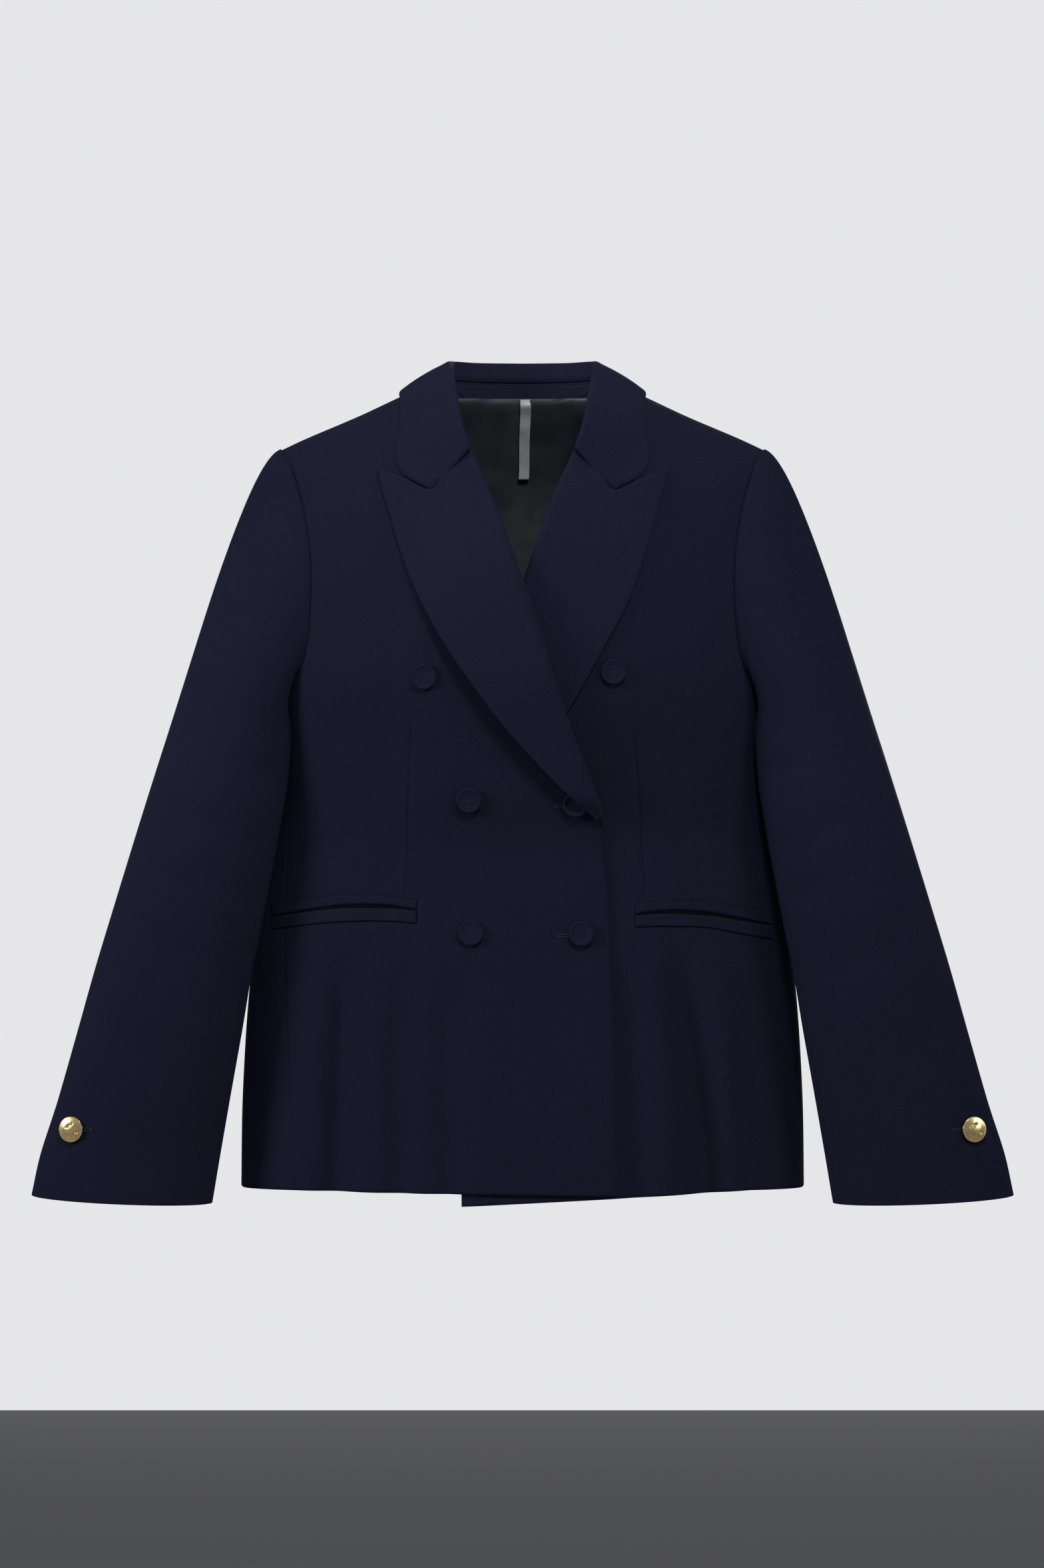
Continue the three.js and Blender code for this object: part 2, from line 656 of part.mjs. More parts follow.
// Turns a lathe profile so that its axis is the surface's normal, seated on the cloth
function seat(geometry, point, normal) {
  const turn = new THREE.Quaternion().setFromUnitVectors(new THREE.Vector3(0, 1, 0), normal);
  geometry.applyQuaternion(turn);
  geometry.translate(point.x, point.y, point.z);
  return geometry;
}
const profile = (rows) => rows.map((row) => new THREE.Vector2(row.r, row.h));
const COVERED = table(["r", "h"], [
  [0, 0],
  [2.6, 0],
  [2.8, 1],
  [9, 1.2],
  [BUTTON_R, 2.4],
  [9.6, 3.8],
  [8, 4.2],
  [6, 3.5],
  [0, 3.2],
]);
const BRASS = table(["r", "h"], [
  [0, 0],
  [2.2, 0],
  [2.4, 1.2],
  [8.6, 1.4],
  [BRASS_R, 2.4],
  [9.4, 3.8],
  [6.4, 5.1],
  [0, 5.8],
]);
const BUTTONS = table(["name", "x", "z", "off"], [
  ["top_layer_upper_button", -77, -228, -0.5],
  ["under_layer_upper_button", 72, -224, 0.35],
  ["middle_outer_button", -42.3, -325, 0.35],
  ["middle_inner_button", 41.6, -328.5, 0.35],
  ["lower_outer_button", -41.2, -433, 0.35],
  ["lower_inner_button", 46.6, -433.5, 0.35],
]);
function coveredButton(place) {
  const layer = place.name === "under_layer_upper_button" ? 0 : lap(place.x, place.z);
  const low = bodyPoint(-1, place.x, place.z, layer + WALL + place.off);
  const high = bodyPoint(-1, place.x, place.z, layer + WALL + place.off + 1);
  return seat(new THREE.LatheGeometry(profile(COVERED), 15), low, high.sub(low).normalize());
}
const CUFF_BUTTON = { turn: 0.117, z: -590, off: -0.2 };
function brassButton(hand) {
  const down = 1 + (CUFF_BUTTON.z - CAP_END) / (CUFF_Z - CAP_END);
  const e = 0.004;
  const at = (turn, drop) => sleevePoint(hand, turn, down + drop, null);
  const here = at(CUFF_BUTTON.turn, 0);
  const across = at(CUFF_BUTTON.turn + e, 0).sub(at(CUFF_BUTTON.turn - e, 0));
  const along = at(CUFF_BUTTON.turn, e).sub(at(CUFF_BUTTON.turn, -e));
  const normal = across.cross(along).normalize();
  if (normal.y > 0) normal.negate();
  here.addScaledVector(normal, CUFF_BUTTON.off);
  return seat(new THREE.LatheGeometry(profile(BRASS), 15), here, normal);
}

// Satin strip that hangs free from the seam under the stand
const LABEL = { x: 1.4, width: 8.5, top: -13, bottom: -67, thick: 1, sway: 1.5 };
function labelStrip() {
  const y = bodyY(1, LABEL.x, LABEL.top) - (LINING + LINING_GAP) * 1.35 - 1.1;
  const rows = steps(6).map((v) =>
    steps(2).map((u) => {
      const sway = LABEL.sway * Math.sin(Math.PI * v);
      return new THREE.Vector3(
        LABEL.x + LABEL.width * (u - 0.5),
        y - sway,
        mix(LABEL.top, LABEL.bottom, v),
      );
    }),
  );
  return wall(rows, () => LABEL.thick, () => new THREE.Vector3(0, -1, 0));
}

const cloth = (hex, roughness) => () =>
  new THREE.MeshStandardMaterial({ color: hex, roughness, metalness: 0, side: THREE.DoubleSide });
const wool = cloth(0x1c1e2d, 0.9);
const woolCollar = cloth(0x1e2031, 0.9);
const lining = cloth(0x23272c, 0.5);
const satin = cloth(0xd8dadb, 0.35);
const brass = () =>
  new THREE.MeshStandardMaterial({ color: 0xb08a45, roughness: 0.35, metalness: 1 });

const blazer = new THREE.Group();
function add(name, geometry, material) {
  const mesh = new THREE.Mesh(geometry, material());
  mesh.name = name;
  blazer.add(mesh);
}

for (const [hand, word] of [[-1, "right"], [1, "left"]]) {
  add(word + "_front", frontPanel(hand), wool);
  add(word + "_side_panel", sidePanel(hand), wool);
  add(word + "_back", backPanel(hand), wool);
  add(word + "_lining_back", liningBack(hand), lining);
  add(word + "_upper_sleeve", upperSleeve(hand), wool);
  add(word + "_under_sleeve", underSleeve(hand), wool);
  add(word + "_lapel", lapel(hand), woolCollar);
  add(word + "_upper_welt", welt(hand, true), wool);
  add(word + "_lower_welt", welt(hand, false), wool);
  add(word + "_cuff_button", brassButton(hand), brass);
}
add("collar_stand", collarStand(), woolCollar);
add("collar_fall", collarFall(), woolCollar);
for (const place of BUTTONS) {
  add(place.name, coveredButton(place), woolCollar);
}
add("label_strip", labelStrip(), satin);

export default blazer;
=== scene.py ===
import math
import bpy
import numpy as np
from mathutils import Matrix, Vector


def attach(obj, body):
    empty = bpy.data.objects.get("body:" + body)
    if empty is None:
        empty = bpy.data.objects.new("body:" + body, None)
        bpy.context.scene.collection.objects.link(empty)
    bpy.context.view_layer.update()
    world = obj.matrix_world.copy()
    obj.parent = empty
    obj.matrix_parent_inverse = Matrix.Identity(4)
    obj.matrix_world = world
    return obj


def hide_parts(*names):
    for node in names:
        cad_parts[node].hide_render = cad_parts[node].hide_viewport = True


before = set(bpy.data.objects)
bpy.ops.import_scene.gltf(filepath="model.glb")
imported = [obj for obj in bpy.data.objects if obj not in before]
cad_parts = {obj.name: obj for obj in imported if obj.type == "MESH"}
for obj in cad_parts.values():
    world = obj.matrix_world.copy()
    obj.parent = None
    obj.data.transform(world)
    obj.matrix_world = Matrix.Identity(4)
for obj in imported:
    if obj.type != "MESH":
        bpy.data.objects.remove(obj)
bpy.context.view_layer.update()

# a double breasted blazer in navy wool, filled out and hollow; hand is -1 for the right side, as worn
print("frame loaded:", len(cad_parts), "nodes")
sideWord = {-1: "right", 1: "left"}

# camera: square on to the front, at mid height, far enough for a long lens
cameraSet = {
    "sensor": 36.0,
    "frameHeight": 1.2605,  # metres of object that the picture's height takes in
    "distance": 6.0,  # from the plane of the sleeves
    "plane": -0.05,
    "centre": (-0.0005, -0.3135),
}


def makeCamera(s):
    data = bpy.data.cameras.new("camera")
    data.sensor_fit = "VERTICAL"
    data.sensor_height = s["sensor"]
    data.lens = s["sensor"] * s["distance"] / s["frameHeight"]
    data.clip_end = 50
    camera = bpy.data.objects.new("camera", data)
    camera.location = (s["centre"][0], s["plane"] - s["distance"], s["centre"][1])
    camera.rotation_euler = (math.pi / 2, 0, 0)
    bpy.context.scene.collection.objects.link(camera)
    bpy.context.scene.camera = camera


makeCamera(cameraSet)

# small helpers: mix, soft step, and a table read smoothly between its rows


def mix(a, b, t):
    return a + (b - a) * t


def soft(low, high, at):
    t = np.clip((at - low) / (high - low), 0, 1)
    return t * t * (3 - 2 * t)


def readTable(rows, at, column):
    # cubic through the rows: each span is a Hermite curve whose end slopes come from its neighbours
    key = rows[:, 0]
    value = rows[:, column]
    order = np.sign(key[-1] - key[0])
    at = np.asarray(at, dtype=float)
    i = np.clip(np.searchsorted(key * order, at * order, side="left") - 1, 0, len(key) - 2)
    before = np.maximum(i - 1, 0)
    after = np.minimum(i + 2, len(key) - 1)
    span = key[i + 1] - key[i]
    t = np.clip((at - key[i]) / span, 0, 1)
    slopeA = (value[i + 1] - value[before]) / (key[i + 1] - key[before]) * span
    slopeB = (value[after] - value[i]) / (key[after] - key[i]) * span
    return (
        (2 * t**3 - 3 * t**2 + 1) * value[i]
        + (t**3 - 2 * t**2 + t) * slopeA
        + (3 * t**2 - 2 * t**3) * value[i + 1]
        + (t**3 - t**2) * slopeB
    )


def bunched(count):
    # 0 to 1 in steps that are finest at both ends, for crisp seams and edges
    s = np.linspace(0, 1, count + 1)
    return s * s * (3 - 2 * s)


# the body's form, in millimetres
body = {
    "slope": 0.474,  # of the shoulder seam
    "levelX": 98,  # distance from the centre at which the seam is at height 0
    "power": 2.4,  # of the superellipse
    "frontFall": 240,  # height over which the chest rounds out from the seam
    "backFall": 150,
    "padRise": 2.5,
    # height, half width, depth in front, depth behind
    "shape": np.array([
        [60, 200, 92, 92],
        [-100, 200, 92, 94],
        [-200, 197, 93, 92],
        [-245, 196, 92, 88],
        [-293, 194.5, 86, 79],
        [-350, 198, 79, 75],
        [-400, 207, 80, 79],
        [-464, 217, 83, 88],
        [-566, 225, 87, 93],
        [-660, 226.5, 89, 94],
    ]),
    "wall": 2.0,
    "unrest": 0.7,
    "underarm": -245,
    "hem": -639.5,
    "shoulder": -46,
}

# main folds, as soft troughs: side, top, x at the top, x at the hem, depth, half width
mainFolds = [
    (-1, -426, -142, -149, 12.5, 15),
    (-1, -440, -97, -96, 7.5, 13),
    (-1, -455, -58, -57, 6.0, 13),
    (-1, -430, 122, 148, 12.0, 15),
    (-1, -450, 84, 90, 4.0, 13),
    (1, -400, -128, -112, 6.5, 17),
    (1, -380, 120, 134, 6.0, 17),
    (1, -430, -42, -50, 3.5, 16),
    (1, -410, 46, 40, 3.0, 16),
]

# finer creases: side, start x z, end x z, depth (minus is a ridge), half width
fineCreases = [
    (-1, 174, -446, 180, -650, 1.6, 10),
    (-1, -150, -452, -139, -600, 1.0, 9),
    (-1, -74, -470, -62, -640, 1.1, 13),
    (-1, -34, -500, -30, -640, -0.9, 12),
    (-1, -132, -540, -128, -640, -1.3, 11),
    (-1, 106, -470, 118, -640, -1.2, 12),
    (-1, 166, -470, 170, -640, -1.0, 10),
    (-1, -160, -232, -128, -300, 0.9, 12),
    (-1, 160, -240, 132, -306, 0.9, 12),
    (-1, -148, -96, -128, -190, 0.9, 15),
    (-1, 150, -92, 130, -196, 0.9, 15),
    (-1, -120, -340, -160, -372, 0.7, 9),
    (-1, 128, -338, 166, -368, 0.7, 9),
    (-1, 20, -470, 34, -620, 0.8, 14),
    (1, -150, -110, -120, -230, 1.3, 16),
    (1, 146, -104, 118, -236, 1.3, 16),
    (1, -150, -250, -70, -312, 1.2, 14),
    (1, 148, -246, 60, -318, 1.1, 14),
    (1, -120, -330, -20, -352, 0.9, 12),
    (1, 116, -336, 28, -350, 0.9, 12),
    (1, -90, -470, -84, -630, -1.2, 14),
    (1, 88, -450, 92, -630, -1.2, 14),
    (1, 0, -30, 0, -120, 0.7, 16),
]


def creaseDepth(side, x, z):
    # each crease is a trough round a short line, fading to nothing at both ends
    total = np.zeros(np.broadcast(x, z).shape)
    for s, x0, z0, x1, z1, depth, half in fineCreases:
        if s != side:
            continue
        length = math.hypot(x1 - x0, z1 - z0)
        dx, dz = (x1 - x0) / length, (z1 - z0) / length
        along = (x - x0) * dx + (z - z0) * dz
        off = (x - x0) * dz - (z - z0) * dx
        wander = 3.0 * np.sin(along / 37 + x0)
        fade = soft(-0.25 * length, 0.35 * length, along) * (1 - soft(0.6 * length, 1.2 * length, along))
        total += depth * fade * np.exp(-(((off + wander) / half) ** 2))
    return total


def unrest(x, z, size):
    # slow unevenness of cloth that nothing stretches: three crossing sine waves
    return size * (
        np.sin(x / 31 + z / 57 + 0.7) * 0.5
        + np.sin(x / 53 - z / 43 + 2.1) * 0.35
        + np.sin(x / 19 + z / 83 + 4.0) * 0.15
    )


def padRise(x):
    # the pad holds the shoulder's end a little above the straight line
    return body["padRise"] * soft(122, 188, np.abs(x))


def halfDepth(inFront, z):
    shape = body["shape"]
    return np.where(inFront, readTable(shape, z, 2), readTable(shape, z, 3))


def bodyDepth(side, x, z, fine=True):
    # superellipse across, a quarter sine down from the shoulder seam, less the folds
    b = body
    width = readTable(b["shape"], z, 1)
    depth = halfDepth(side < 0, z)
    across = np.clip(1 - np.minimum(1, np.abs(x) / width) ** b["power"], 0, 1) ** (1 / b["power"])
    seamZ = b["slope"] * (b["levelX"] - np.abs(x)) + padRise(x)
    fall = np.clip((seamZ - z) / (b["frontFall"] if side < 0 else b["backFall"]), 0, 1)
    full = depth * across * np.sin(math.pi / 2 * fall**0.8)
    inner = soft(0.2, 0.5, across)
    for s, top, topX, hemX, deep, half in mainFolds:
        if s == side:
            t = (top - z) / (top - b["hem"])
            trough = np.exp(-(((x - mix(topX, hemX, t)) / half) ** 2))
            full = full - deep * soft(-0.05, 0.4, t) * trough * inner
    if fine:
        steady = soft(0.02, 0.3, fall)
        full = full - (creaseDepth(side, x, z) + unrest(x, z, b["unrest"])) * inner * steady
    return side * full


def bodyPoint(side, x, z, out=0.0, fine=True):
    # the surface's point, moved out along its normal
    e = 0.5
    x, z = np.broadcast_arrays(np.asarray(x, float), np.asarray(z, float))
    y = bodyDepth(side, x, z, fine)
    dyx = (bodyDepth(side, x + e, z, fine) - bodyDepth(side, x - e, z, fine)) / (2 * e)
    dyz = (bodyDepth(side, x, z + e, fine) - bodyDepth(side, x, z - e, fine)) / (2 * e)
    normal = np.stack([-dyx, np.ones_like(y), -dyz], -1) * side
    normal /= np.linalg.norm(normal, axis=-1, keepdims=True)
    return np.stack([x, y, z], -1) + normal * np.asarray(out, float)[..., None]


def gridNormals(grid):
    # the cross product of the steps down and across
    across = np.gradient(grid, axis=1)
    down = np.gradient(grid, axis=0)
    normal = np.cross(down, across)
    return normal / np.maximum(np.linalg.norm(normal, axis=-1, keepdims=True), 1e-9)


# meshes


def addObject(name, points, faces, uv=None):
    # points and uv are in millimetres
    mesh = bpy.data.meshes.new(name)
    mesh.from_pydata((np.asarray(points) / 1000).tolist(), [], faces)
    if uv is not None:
        layer = mesh.uv_layers.new(name="cloth")
        corner = np.empty(len(mesh.loops), dtype=np.int32)
        mesh.loops.foreach_get("vertex_index", corner)
        layer.data.foreach_set("uv", (np.asarray(uv) / 1000)[corner].ravel())
    mesh.polygons.foreach_set("use_smooth", [True] * len(mesh.polygons))
    mesh.update()
    made = bpy.data.objects.new(name, mesh)
    bpy.context.scene.collection.objects.link(made)
    return made


def volumeOf(points, faces):
    # six times the signed volume, from the fan of each quad
    a, b, c, d = (points[faces[:, i]] for i in range(4))
    return (a * np.cross(b, c)).sum() + (a * np.cross(c, d)).sum()


def normalsTowards(grid, towards):
    # normals turned so that the one in the grid's middle points the given way
    normals = gridNormals(grid)
    middle = (grid.shape[0] // 2, grid.shape[1] // 2)
    facing = normals[middle] @ np.asarray(towards(grid[middle]), float)
    return -normals if facing < 0 else normals


def clothWall(name, grid, thick, towards, keepEnds=False):
    # a closed wall: the grid is one face, the other lies a thickness away along the normals,
    # and a rim joins them all round; keepEnds drops a column at both ends that only steers the normals
    normals = normalsTowards(grid, towards)
    if keepEnds:
        grid = grid[:, 1:-1]
        normals = normals[:, 1:-1]
        thick = thick[:, 1:-1]
    rows, columns = grid.shape[:2]
    thick = np.broadcast_to(np.asarray(thick, float), (rows, columns))
    far = grid + normals * thick[..., None]
    points = np.concatenate([grid.reshape(-1, 3), far.reshape(-1, 3)])
    index = np.arange(rows * columns).reshape(rows, columns)
    a, b, c, d = index[:-1, :-1], index[:-1, 1:], index[1:, 1:], index[1:, :-1]
    near = np.stack([a, b, c, d], -1).reshape(-1, 4)
    shift = rows * columns
    other = near[:, ::-1] + shift
    loop = np.concatenate([index[0, :], index[1:, -1], index[-1, -2::-1], index[-2:0:-1, 0]])
    following = np.roll(loop, -1)
    rim = np.stack([following, loop, loop + shift, following + shift], -1)
    faces = np.concatenate([near, other, rim])
    if volumeOf(points, faces) < 0:
        faces = faces[:, ::-1]
    stepU = np.linalg.norm(np.diff(grid, axis=1, prepend=grid[:, :1]), axis=-1).cumsum(1)
    stepV = np.linalg.norm(np.diff(grid, axis=0, prepend=grid[:1]), axis=-1).cumsum(0)
    uv = np.stack([stepU - stepU[:, columns // 2 : columns // 2 + 1], stepV], -1).reshape(-1, 2)
    return addObject(name, points, faces.tolist(), np.concatenate([uv, uv]))


def edgeSoft(distance, reach=1.5, low=0.45):
    # share of the full thickness beside an edge, so that pieces meet in a rounded groove
    return low + (1 - low) * np.sqrt(np.clip(distance / reach, 0, 1))


def gridEdge(grid, sides="lrtb"):
    # distance in millimetres from the chosen edges of a grid: its left, right, top and bottom
    u = np.linalg.norm(np.diff(grid, axis=1, prepend=grid[:, :1]), axis=-1).cumsum(1)
    v = np.linalg.norm(np.diff(grid, axis=0, prepend=grid[:1]), axis=-1).cumsum(0)
    gaps = {"l": u, "r": u[:, -1:] - u, "t": v, "b": v[-1:] - v}
    return np.minimum.reduce([gaps[side] for side in sides])


def cutOf(grid):
    # the flat cut of a grid in metres: its longest row, its longest column and its area
    across = np.linalg.norm(np.diff(grid, axis=1), axis=-1).sum(1).max() / 1000
    down = np.linalg.norm(np.diff(grid, axis=0), axis=-1).sum(0).max() / 1000
    diagonals = np.cross(grid[1:, 1:] - grid[:-1, :-1], grid[1:, :-1] - grid[:-1, 1:])
    area = np.linalg.norm(diagonals, axis=-1).sum() / 2e6
    return (float(max(across, 0.01)), float(down)), float(min(area, across * down))


def rideAs(piece, node, material, grid=None):
    piece.data.materials.append(material)
    if node:
        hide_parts(node)
    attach(piece, "root")
    if grid is not None:
        flat, area = cutOf(grid)
        print(piece.name, "cut", round(flat[0], 3), "x", round(flat[1], 3), "m, area", round(area, 4))
    return piece


# materials


def hexLinear(text):
    # sRGB hex to linear colour
    values = [int(text[i : i + 2], 16) / 255 for i in (0, 2, 4)]
    return [v / 12.92 if v <= 0.04045 else ((v + 0.055) / 1.055) ** 2.4 for v in values] + [1.0]


def addNode(tree, kind, settings=None, links=None):
    # adds a node, sets its sockets, attributes or colour stops, and links its inputs to their sources
    node = tree.nodes.new(kind)
    for key, value in (settings or {}).items():
        if key == "stops":
            for _ in value[2:]:
                node.color_ramp.elements.new(0.5)
            for element, (place, text) in zip(node.color_ramp.elements, value):
                element.position = place
                element.color = hexLinear(text)
        elif isinstance(key, int) or key in node.inputs:
            node.inputs[key].default_value = value
        else:
            setattr(node, key, value)
    for key, source in (links or {}).items():
        tree.links.new(source, node.inputs[key])
    return node


def newMaterial(name, values):
    made = bpy.data.materials.new(name)
    made.use_nodes = True
    tree = made.node_tree
    shader = tree.nodes["Principled BSDF"]
    for key, value in values.items():
        shader.inputs[key].default_value = value
    return made, tree, shader


def noiseScale(size):
    # of a noise texture whose blotches are about so many millimetres wide
    return 1000 / size


def waveScale(spacing):
    # of a wave texture whose ridges are so many millimetres apart
    return math.pi / 10 * 1000 / spacing


# worsted wool crepe: dull, with a faint bloom at grazing angles from the raised fibre ends
# its twill yarns are 0.5 mm apart and are drawn at 2.2 mm to show; the nap's flecks are drawn at 2.6 mm
woolSet = {"yarn": 2.17125, "slant": 52, "nap": 2.6, "cloud": 62.5}
clothColours = ("1b1e30", "1e2133", "23273b")
facingColours = ("1d2032", "202336", "25293f")


def woolMaterial(name, colours):
    s = woolSet
    made, tree, shader = newMaterial(name, {
        "Roughness": 0.88,
        "Specular IOR Level": 0.04,
        "Sheen Weight": 0.035,
        "Sheen Roughness": 0.5,
        "Sheen Tint": hexLinear("8088ae"),
    })
    place = addNode(tree, "ShaderNodeTexCoord")
    cloud = addNode(tree, "ShaderNodeTexNoise", {"Scale": noiseScale(s["cloud"]), "Detail": 3.0},
                    {"Vector": place.outputs["Object"]})
    fleck = addNode(tree, "ShaderNodeTexNoise",
                    {"Scale": noiseScale(s["nap"]), "Detail": 4.0, "Roughness": 0.7},
                    {"Vector": place.outputs["Object"]})
    both = addNode(tree, "ShaderNodeMath", {"operation": "MULTIPLY_ADD", 1: 0.16},
                   {0: cloud.outputs["Fac"], 2: fleck.outputs["Fac"]})
    ramp = addNode(tree, "ShaderNodeValToRGB", {"stops": list(zip((0.3, 0.58, 0.86), colours))},
                   {0: both.outputs[0]})
    twist = addNode(tree, "ShaderNodeMapping", {"Rotation": (0, 0, math.radians(s["slant"]))},
                    {"Vector": place.outputs["UV"]})
    yarn = addNode(tree, "ShaderNodeTexWave",
                   {"Scale": waveScale(s["yarn"]), "Distortion": 1.2, "Detail": 2.0, "Detail Scale": 2.0},
                   {"Vector": twist.outputs[0]})
    bumpYarn = addNode(tree, "ShaderNodeBump", {"Strength": 0.16, "Distance": 0.0003},
                       {"Height": yarn.outputs["Fac"]})
    bumpNap = addNode(tree, "ShaderNodeBump", {"Strength": 0.13, "Distance": 0.0005},
                      {"Height": fleck.outputs["Fac"], "Normal": bumpYarn.outputs[0]})
    tree.links.new(ramp.outputs[0], shader.inputs["Base Color"])
    tree.links.new(bumpNap.outputs[0], shader.inputs["Normal"])
    return made


def cloudedMaterial(name, values, cloud, detail, stops):
    # a material whose colour drifts between the stops in soft blotches
    made, tree, shader = newMaterial(name, values)
    place = addNode(tree, "ShaderNodeTexCoord")
    noise = addNode(tree, "ShaderNodeTexNoise", {"Scale": noiseScale(cloud), "Detail": detail},
                    {"Vector": place.outputs["Object"]})
    ramp = addNode(tree, "ShaderNodeValToRGB", {"stops": stops}, {0: noise.outputs["Fac"]})
    tree.links.new(ramp.outputs[0], shader.inputs["Base Color"])
    return made, tree, shader, place, noise


# cupro lining: a smooth fine twill, so it shines softly along the folds
# its ridges are 0.3 mm apart and are drawn at 2.1 mm to show
liningLook = {"stops": [(0.3, "2f373c"), (0.7, "434c52")], "cloud": 25, "ridge": 2.094395, "slant": 30}


def liningMaterial():
    s = liningLook
    made, tree, shader, place, _ = cloudedMaterial("cupro lining", {
        "Roughness": 0.42,
        "Specular IOR Level": 0.45,
        "Sheen Weight": 0.1,
        "Anisotropic": 0.3,
    }, s["cloud"], 3.0, s["stops"])
    twist = addNode(tree, "ShaderNodeMapping", {"Rotation": (0, 0, math.radians(s["slant"]))},
                    {"Vector": place.outputs["UV"]})
    yarn = addNode(tree, "ShaderNodeTexWave", {"Scale": waveScale(s["ridge"]), "Distortion": 0.6},
                   {"Vector": twist.outputs[0]})
    bump = addNode(tree, "ShaderNodeBump", {"Strength": 0.15, "Distance": 0.0002},
                   {"Height": yarn.outputs["Fac"]})
    tree.links.new(bump.outputs[0], shader.inputs["Normal"])
    return made


# woven polyester satin: pale, with a soft highlight across its floats, drawn 1.4 mm apart to show
satinLook = {"stops": [(0.3, "c3c6c9"), (0.7, "dcdee0")], "cloud": 11.1111, "float": 1.427997}


def satinMaterial():
    s = satinLook
    made, tree, shader, place, _ = cloudedMaterial("woven satin", {
        "Roughness": 0.38,
        "Specular IOR Level": 0.5,
        "Sheen Weight": 0.15,
    }, s["cloud"], 3.0, s["stops"])
    wave = addNode(tree, "ShaderNodeTexWave", {"Scale": waveScale(s["float"]), "bands_direction": "Y"},
                   {"Vector": place.outputs["UV"]})
    bump = addNode(tree, "ShaderNodeBump", {"Strength": 0.25, "Distance": 0.0002},
                   {"Height": wave.outputs["Fac"]})
    tree.links.new(bump.outputs[0], shader.inputs["Normal"])
    return made


# gilt brass, pressed and polished: a pale gold that is a little cloudy from handling
brassLook = {"stops": [(0.3, "e3c283"), (0.55, "f0d499"), (0.8, "f8e2b2")], "cloud": 2.38095}


def brassMaterial():
    s = brassLook
    values = {"Metallic": 0.75}
    made, tree, shader, _, cloud = cloudedMaterial("gilt brass", values, s["cloud"], 4.0, s["stops"])
    rough = addNode(tree, "ShaderNodeMapRange",
                    {"From Min": 0.3, "From Max": 0.7, "To Min": 0.2, "To Max": 0.24},
                    {"Value": cloud.outputs["Fac"]})
    bump = addNode(tree, "ShaderNodeBump", {"Strength": 0.02, "Distance": 0.0003},
                   {"Height": cloud.outputs["Fac"]})
    tree.links.new(rough.outputs[0], shader.inputs["Roughness"])
    tree.links.new(bump.outputs[0], shader.inputs["Normal"])
    return made


def threadMaterial(name, low, high):
    # twisted polyester thread: dull, with a little sheen along the strand
    values = {"Roughness": 0.6, "Sheen Weight": 0.3}
    return cloudedMaterial(name, values, 1.11111, 2.0, [(0.35, low), (0.65, high)])[0]


wool = woolMaterial("wool crepe", clothColours)
woolFacing = woolMaterial("wool crepe facing", facingColours)
lining = liningMaterial()
satin = satinMaterial()
# a near-black sheet of painted shade, so that a slit reads as a deep shadow
pocketShadeSheet, *_ = newMaterial("painted slit shade", {
    "Base Color": hexLinear("08090f"),
    "Roughness": 0.95,
    "Specular IOR Level": 0.1,
})
brass = brassMaterial()
thread = threadMaterial("navy thread", "14172a", "282c46")
holeThread = threadMaterial("buttonhole twist", "0c0e18", "171a2b")
print("materials made")

# outlines of the pieces, as height and distance from the centre line
armholeFront = np.array([[-46, 194.7], [-64, 184.6], [-98, 174.9], [-133, 169.8],
                         [-176, 169.8], [-208, 173.5], [-230, 181], [-245, 189]])
armholeBack = np.array([[-46, 194.7], [-68, 187], [-100, 180], [-145, 176],
                        [-190, 178], [-222, 183], [-245, 187]])
sideFront = np.array([[-245, 189], [-290, 186.5], [-352, 188], [-431, 191],
                      [-512, 188.5], [-582, 185], [-639.5, 182.5]])
sideBack = np.array([[-245, 187], [-300, 180], [-380, 176], [-512, 176], [-639.5, 178]])
edgeTop = np.array([[15, 66], [-4, 59], [-26, 52], [-45, 45.5], [-87, 27], [-173, -2.7],
                    [-264, -32], [-329, -57.5], [-360, -63.5], [-405, -67.5], [-500, -71.5], [-643.5, -75]])
edgeUnder = np.array([[15, 66], [-4, 59], [-26, 52], [-45, 45.5], [-87, 27], [-173, -2.7],
                      [-264, -32], [-329, -52], [-360, -52], [-405, -51], [-500, -49.5], [-651.5, -48.5]])


def lap(x, z):
    # how far the top layer stands off, to clear the layer and the lapel beneath it
    over = mix(body["wall"] + 1.4, 9.0, soft(-372, -318, z))
    return over * soft(-112, -72, x) * soft(-70, -150, z)


# front panels: rows from the shoulder to the hem, columns from the free edge to the side seam
frontSet = {
    -1: {"name": "right_front", "edge": edgeTop, "dartX": (118, 87, 94, 92), "dart": (-264, -404)},
    1: {"name": "left_front", "edge": edgeUnder, "dartX": (118, 88, 100, 102), "dart": (-266, -404)},
    "rows": 190,
    "columns": (34, 36),
    "dartDeep": 1.3,
    "dartHalf": 1.3,
}


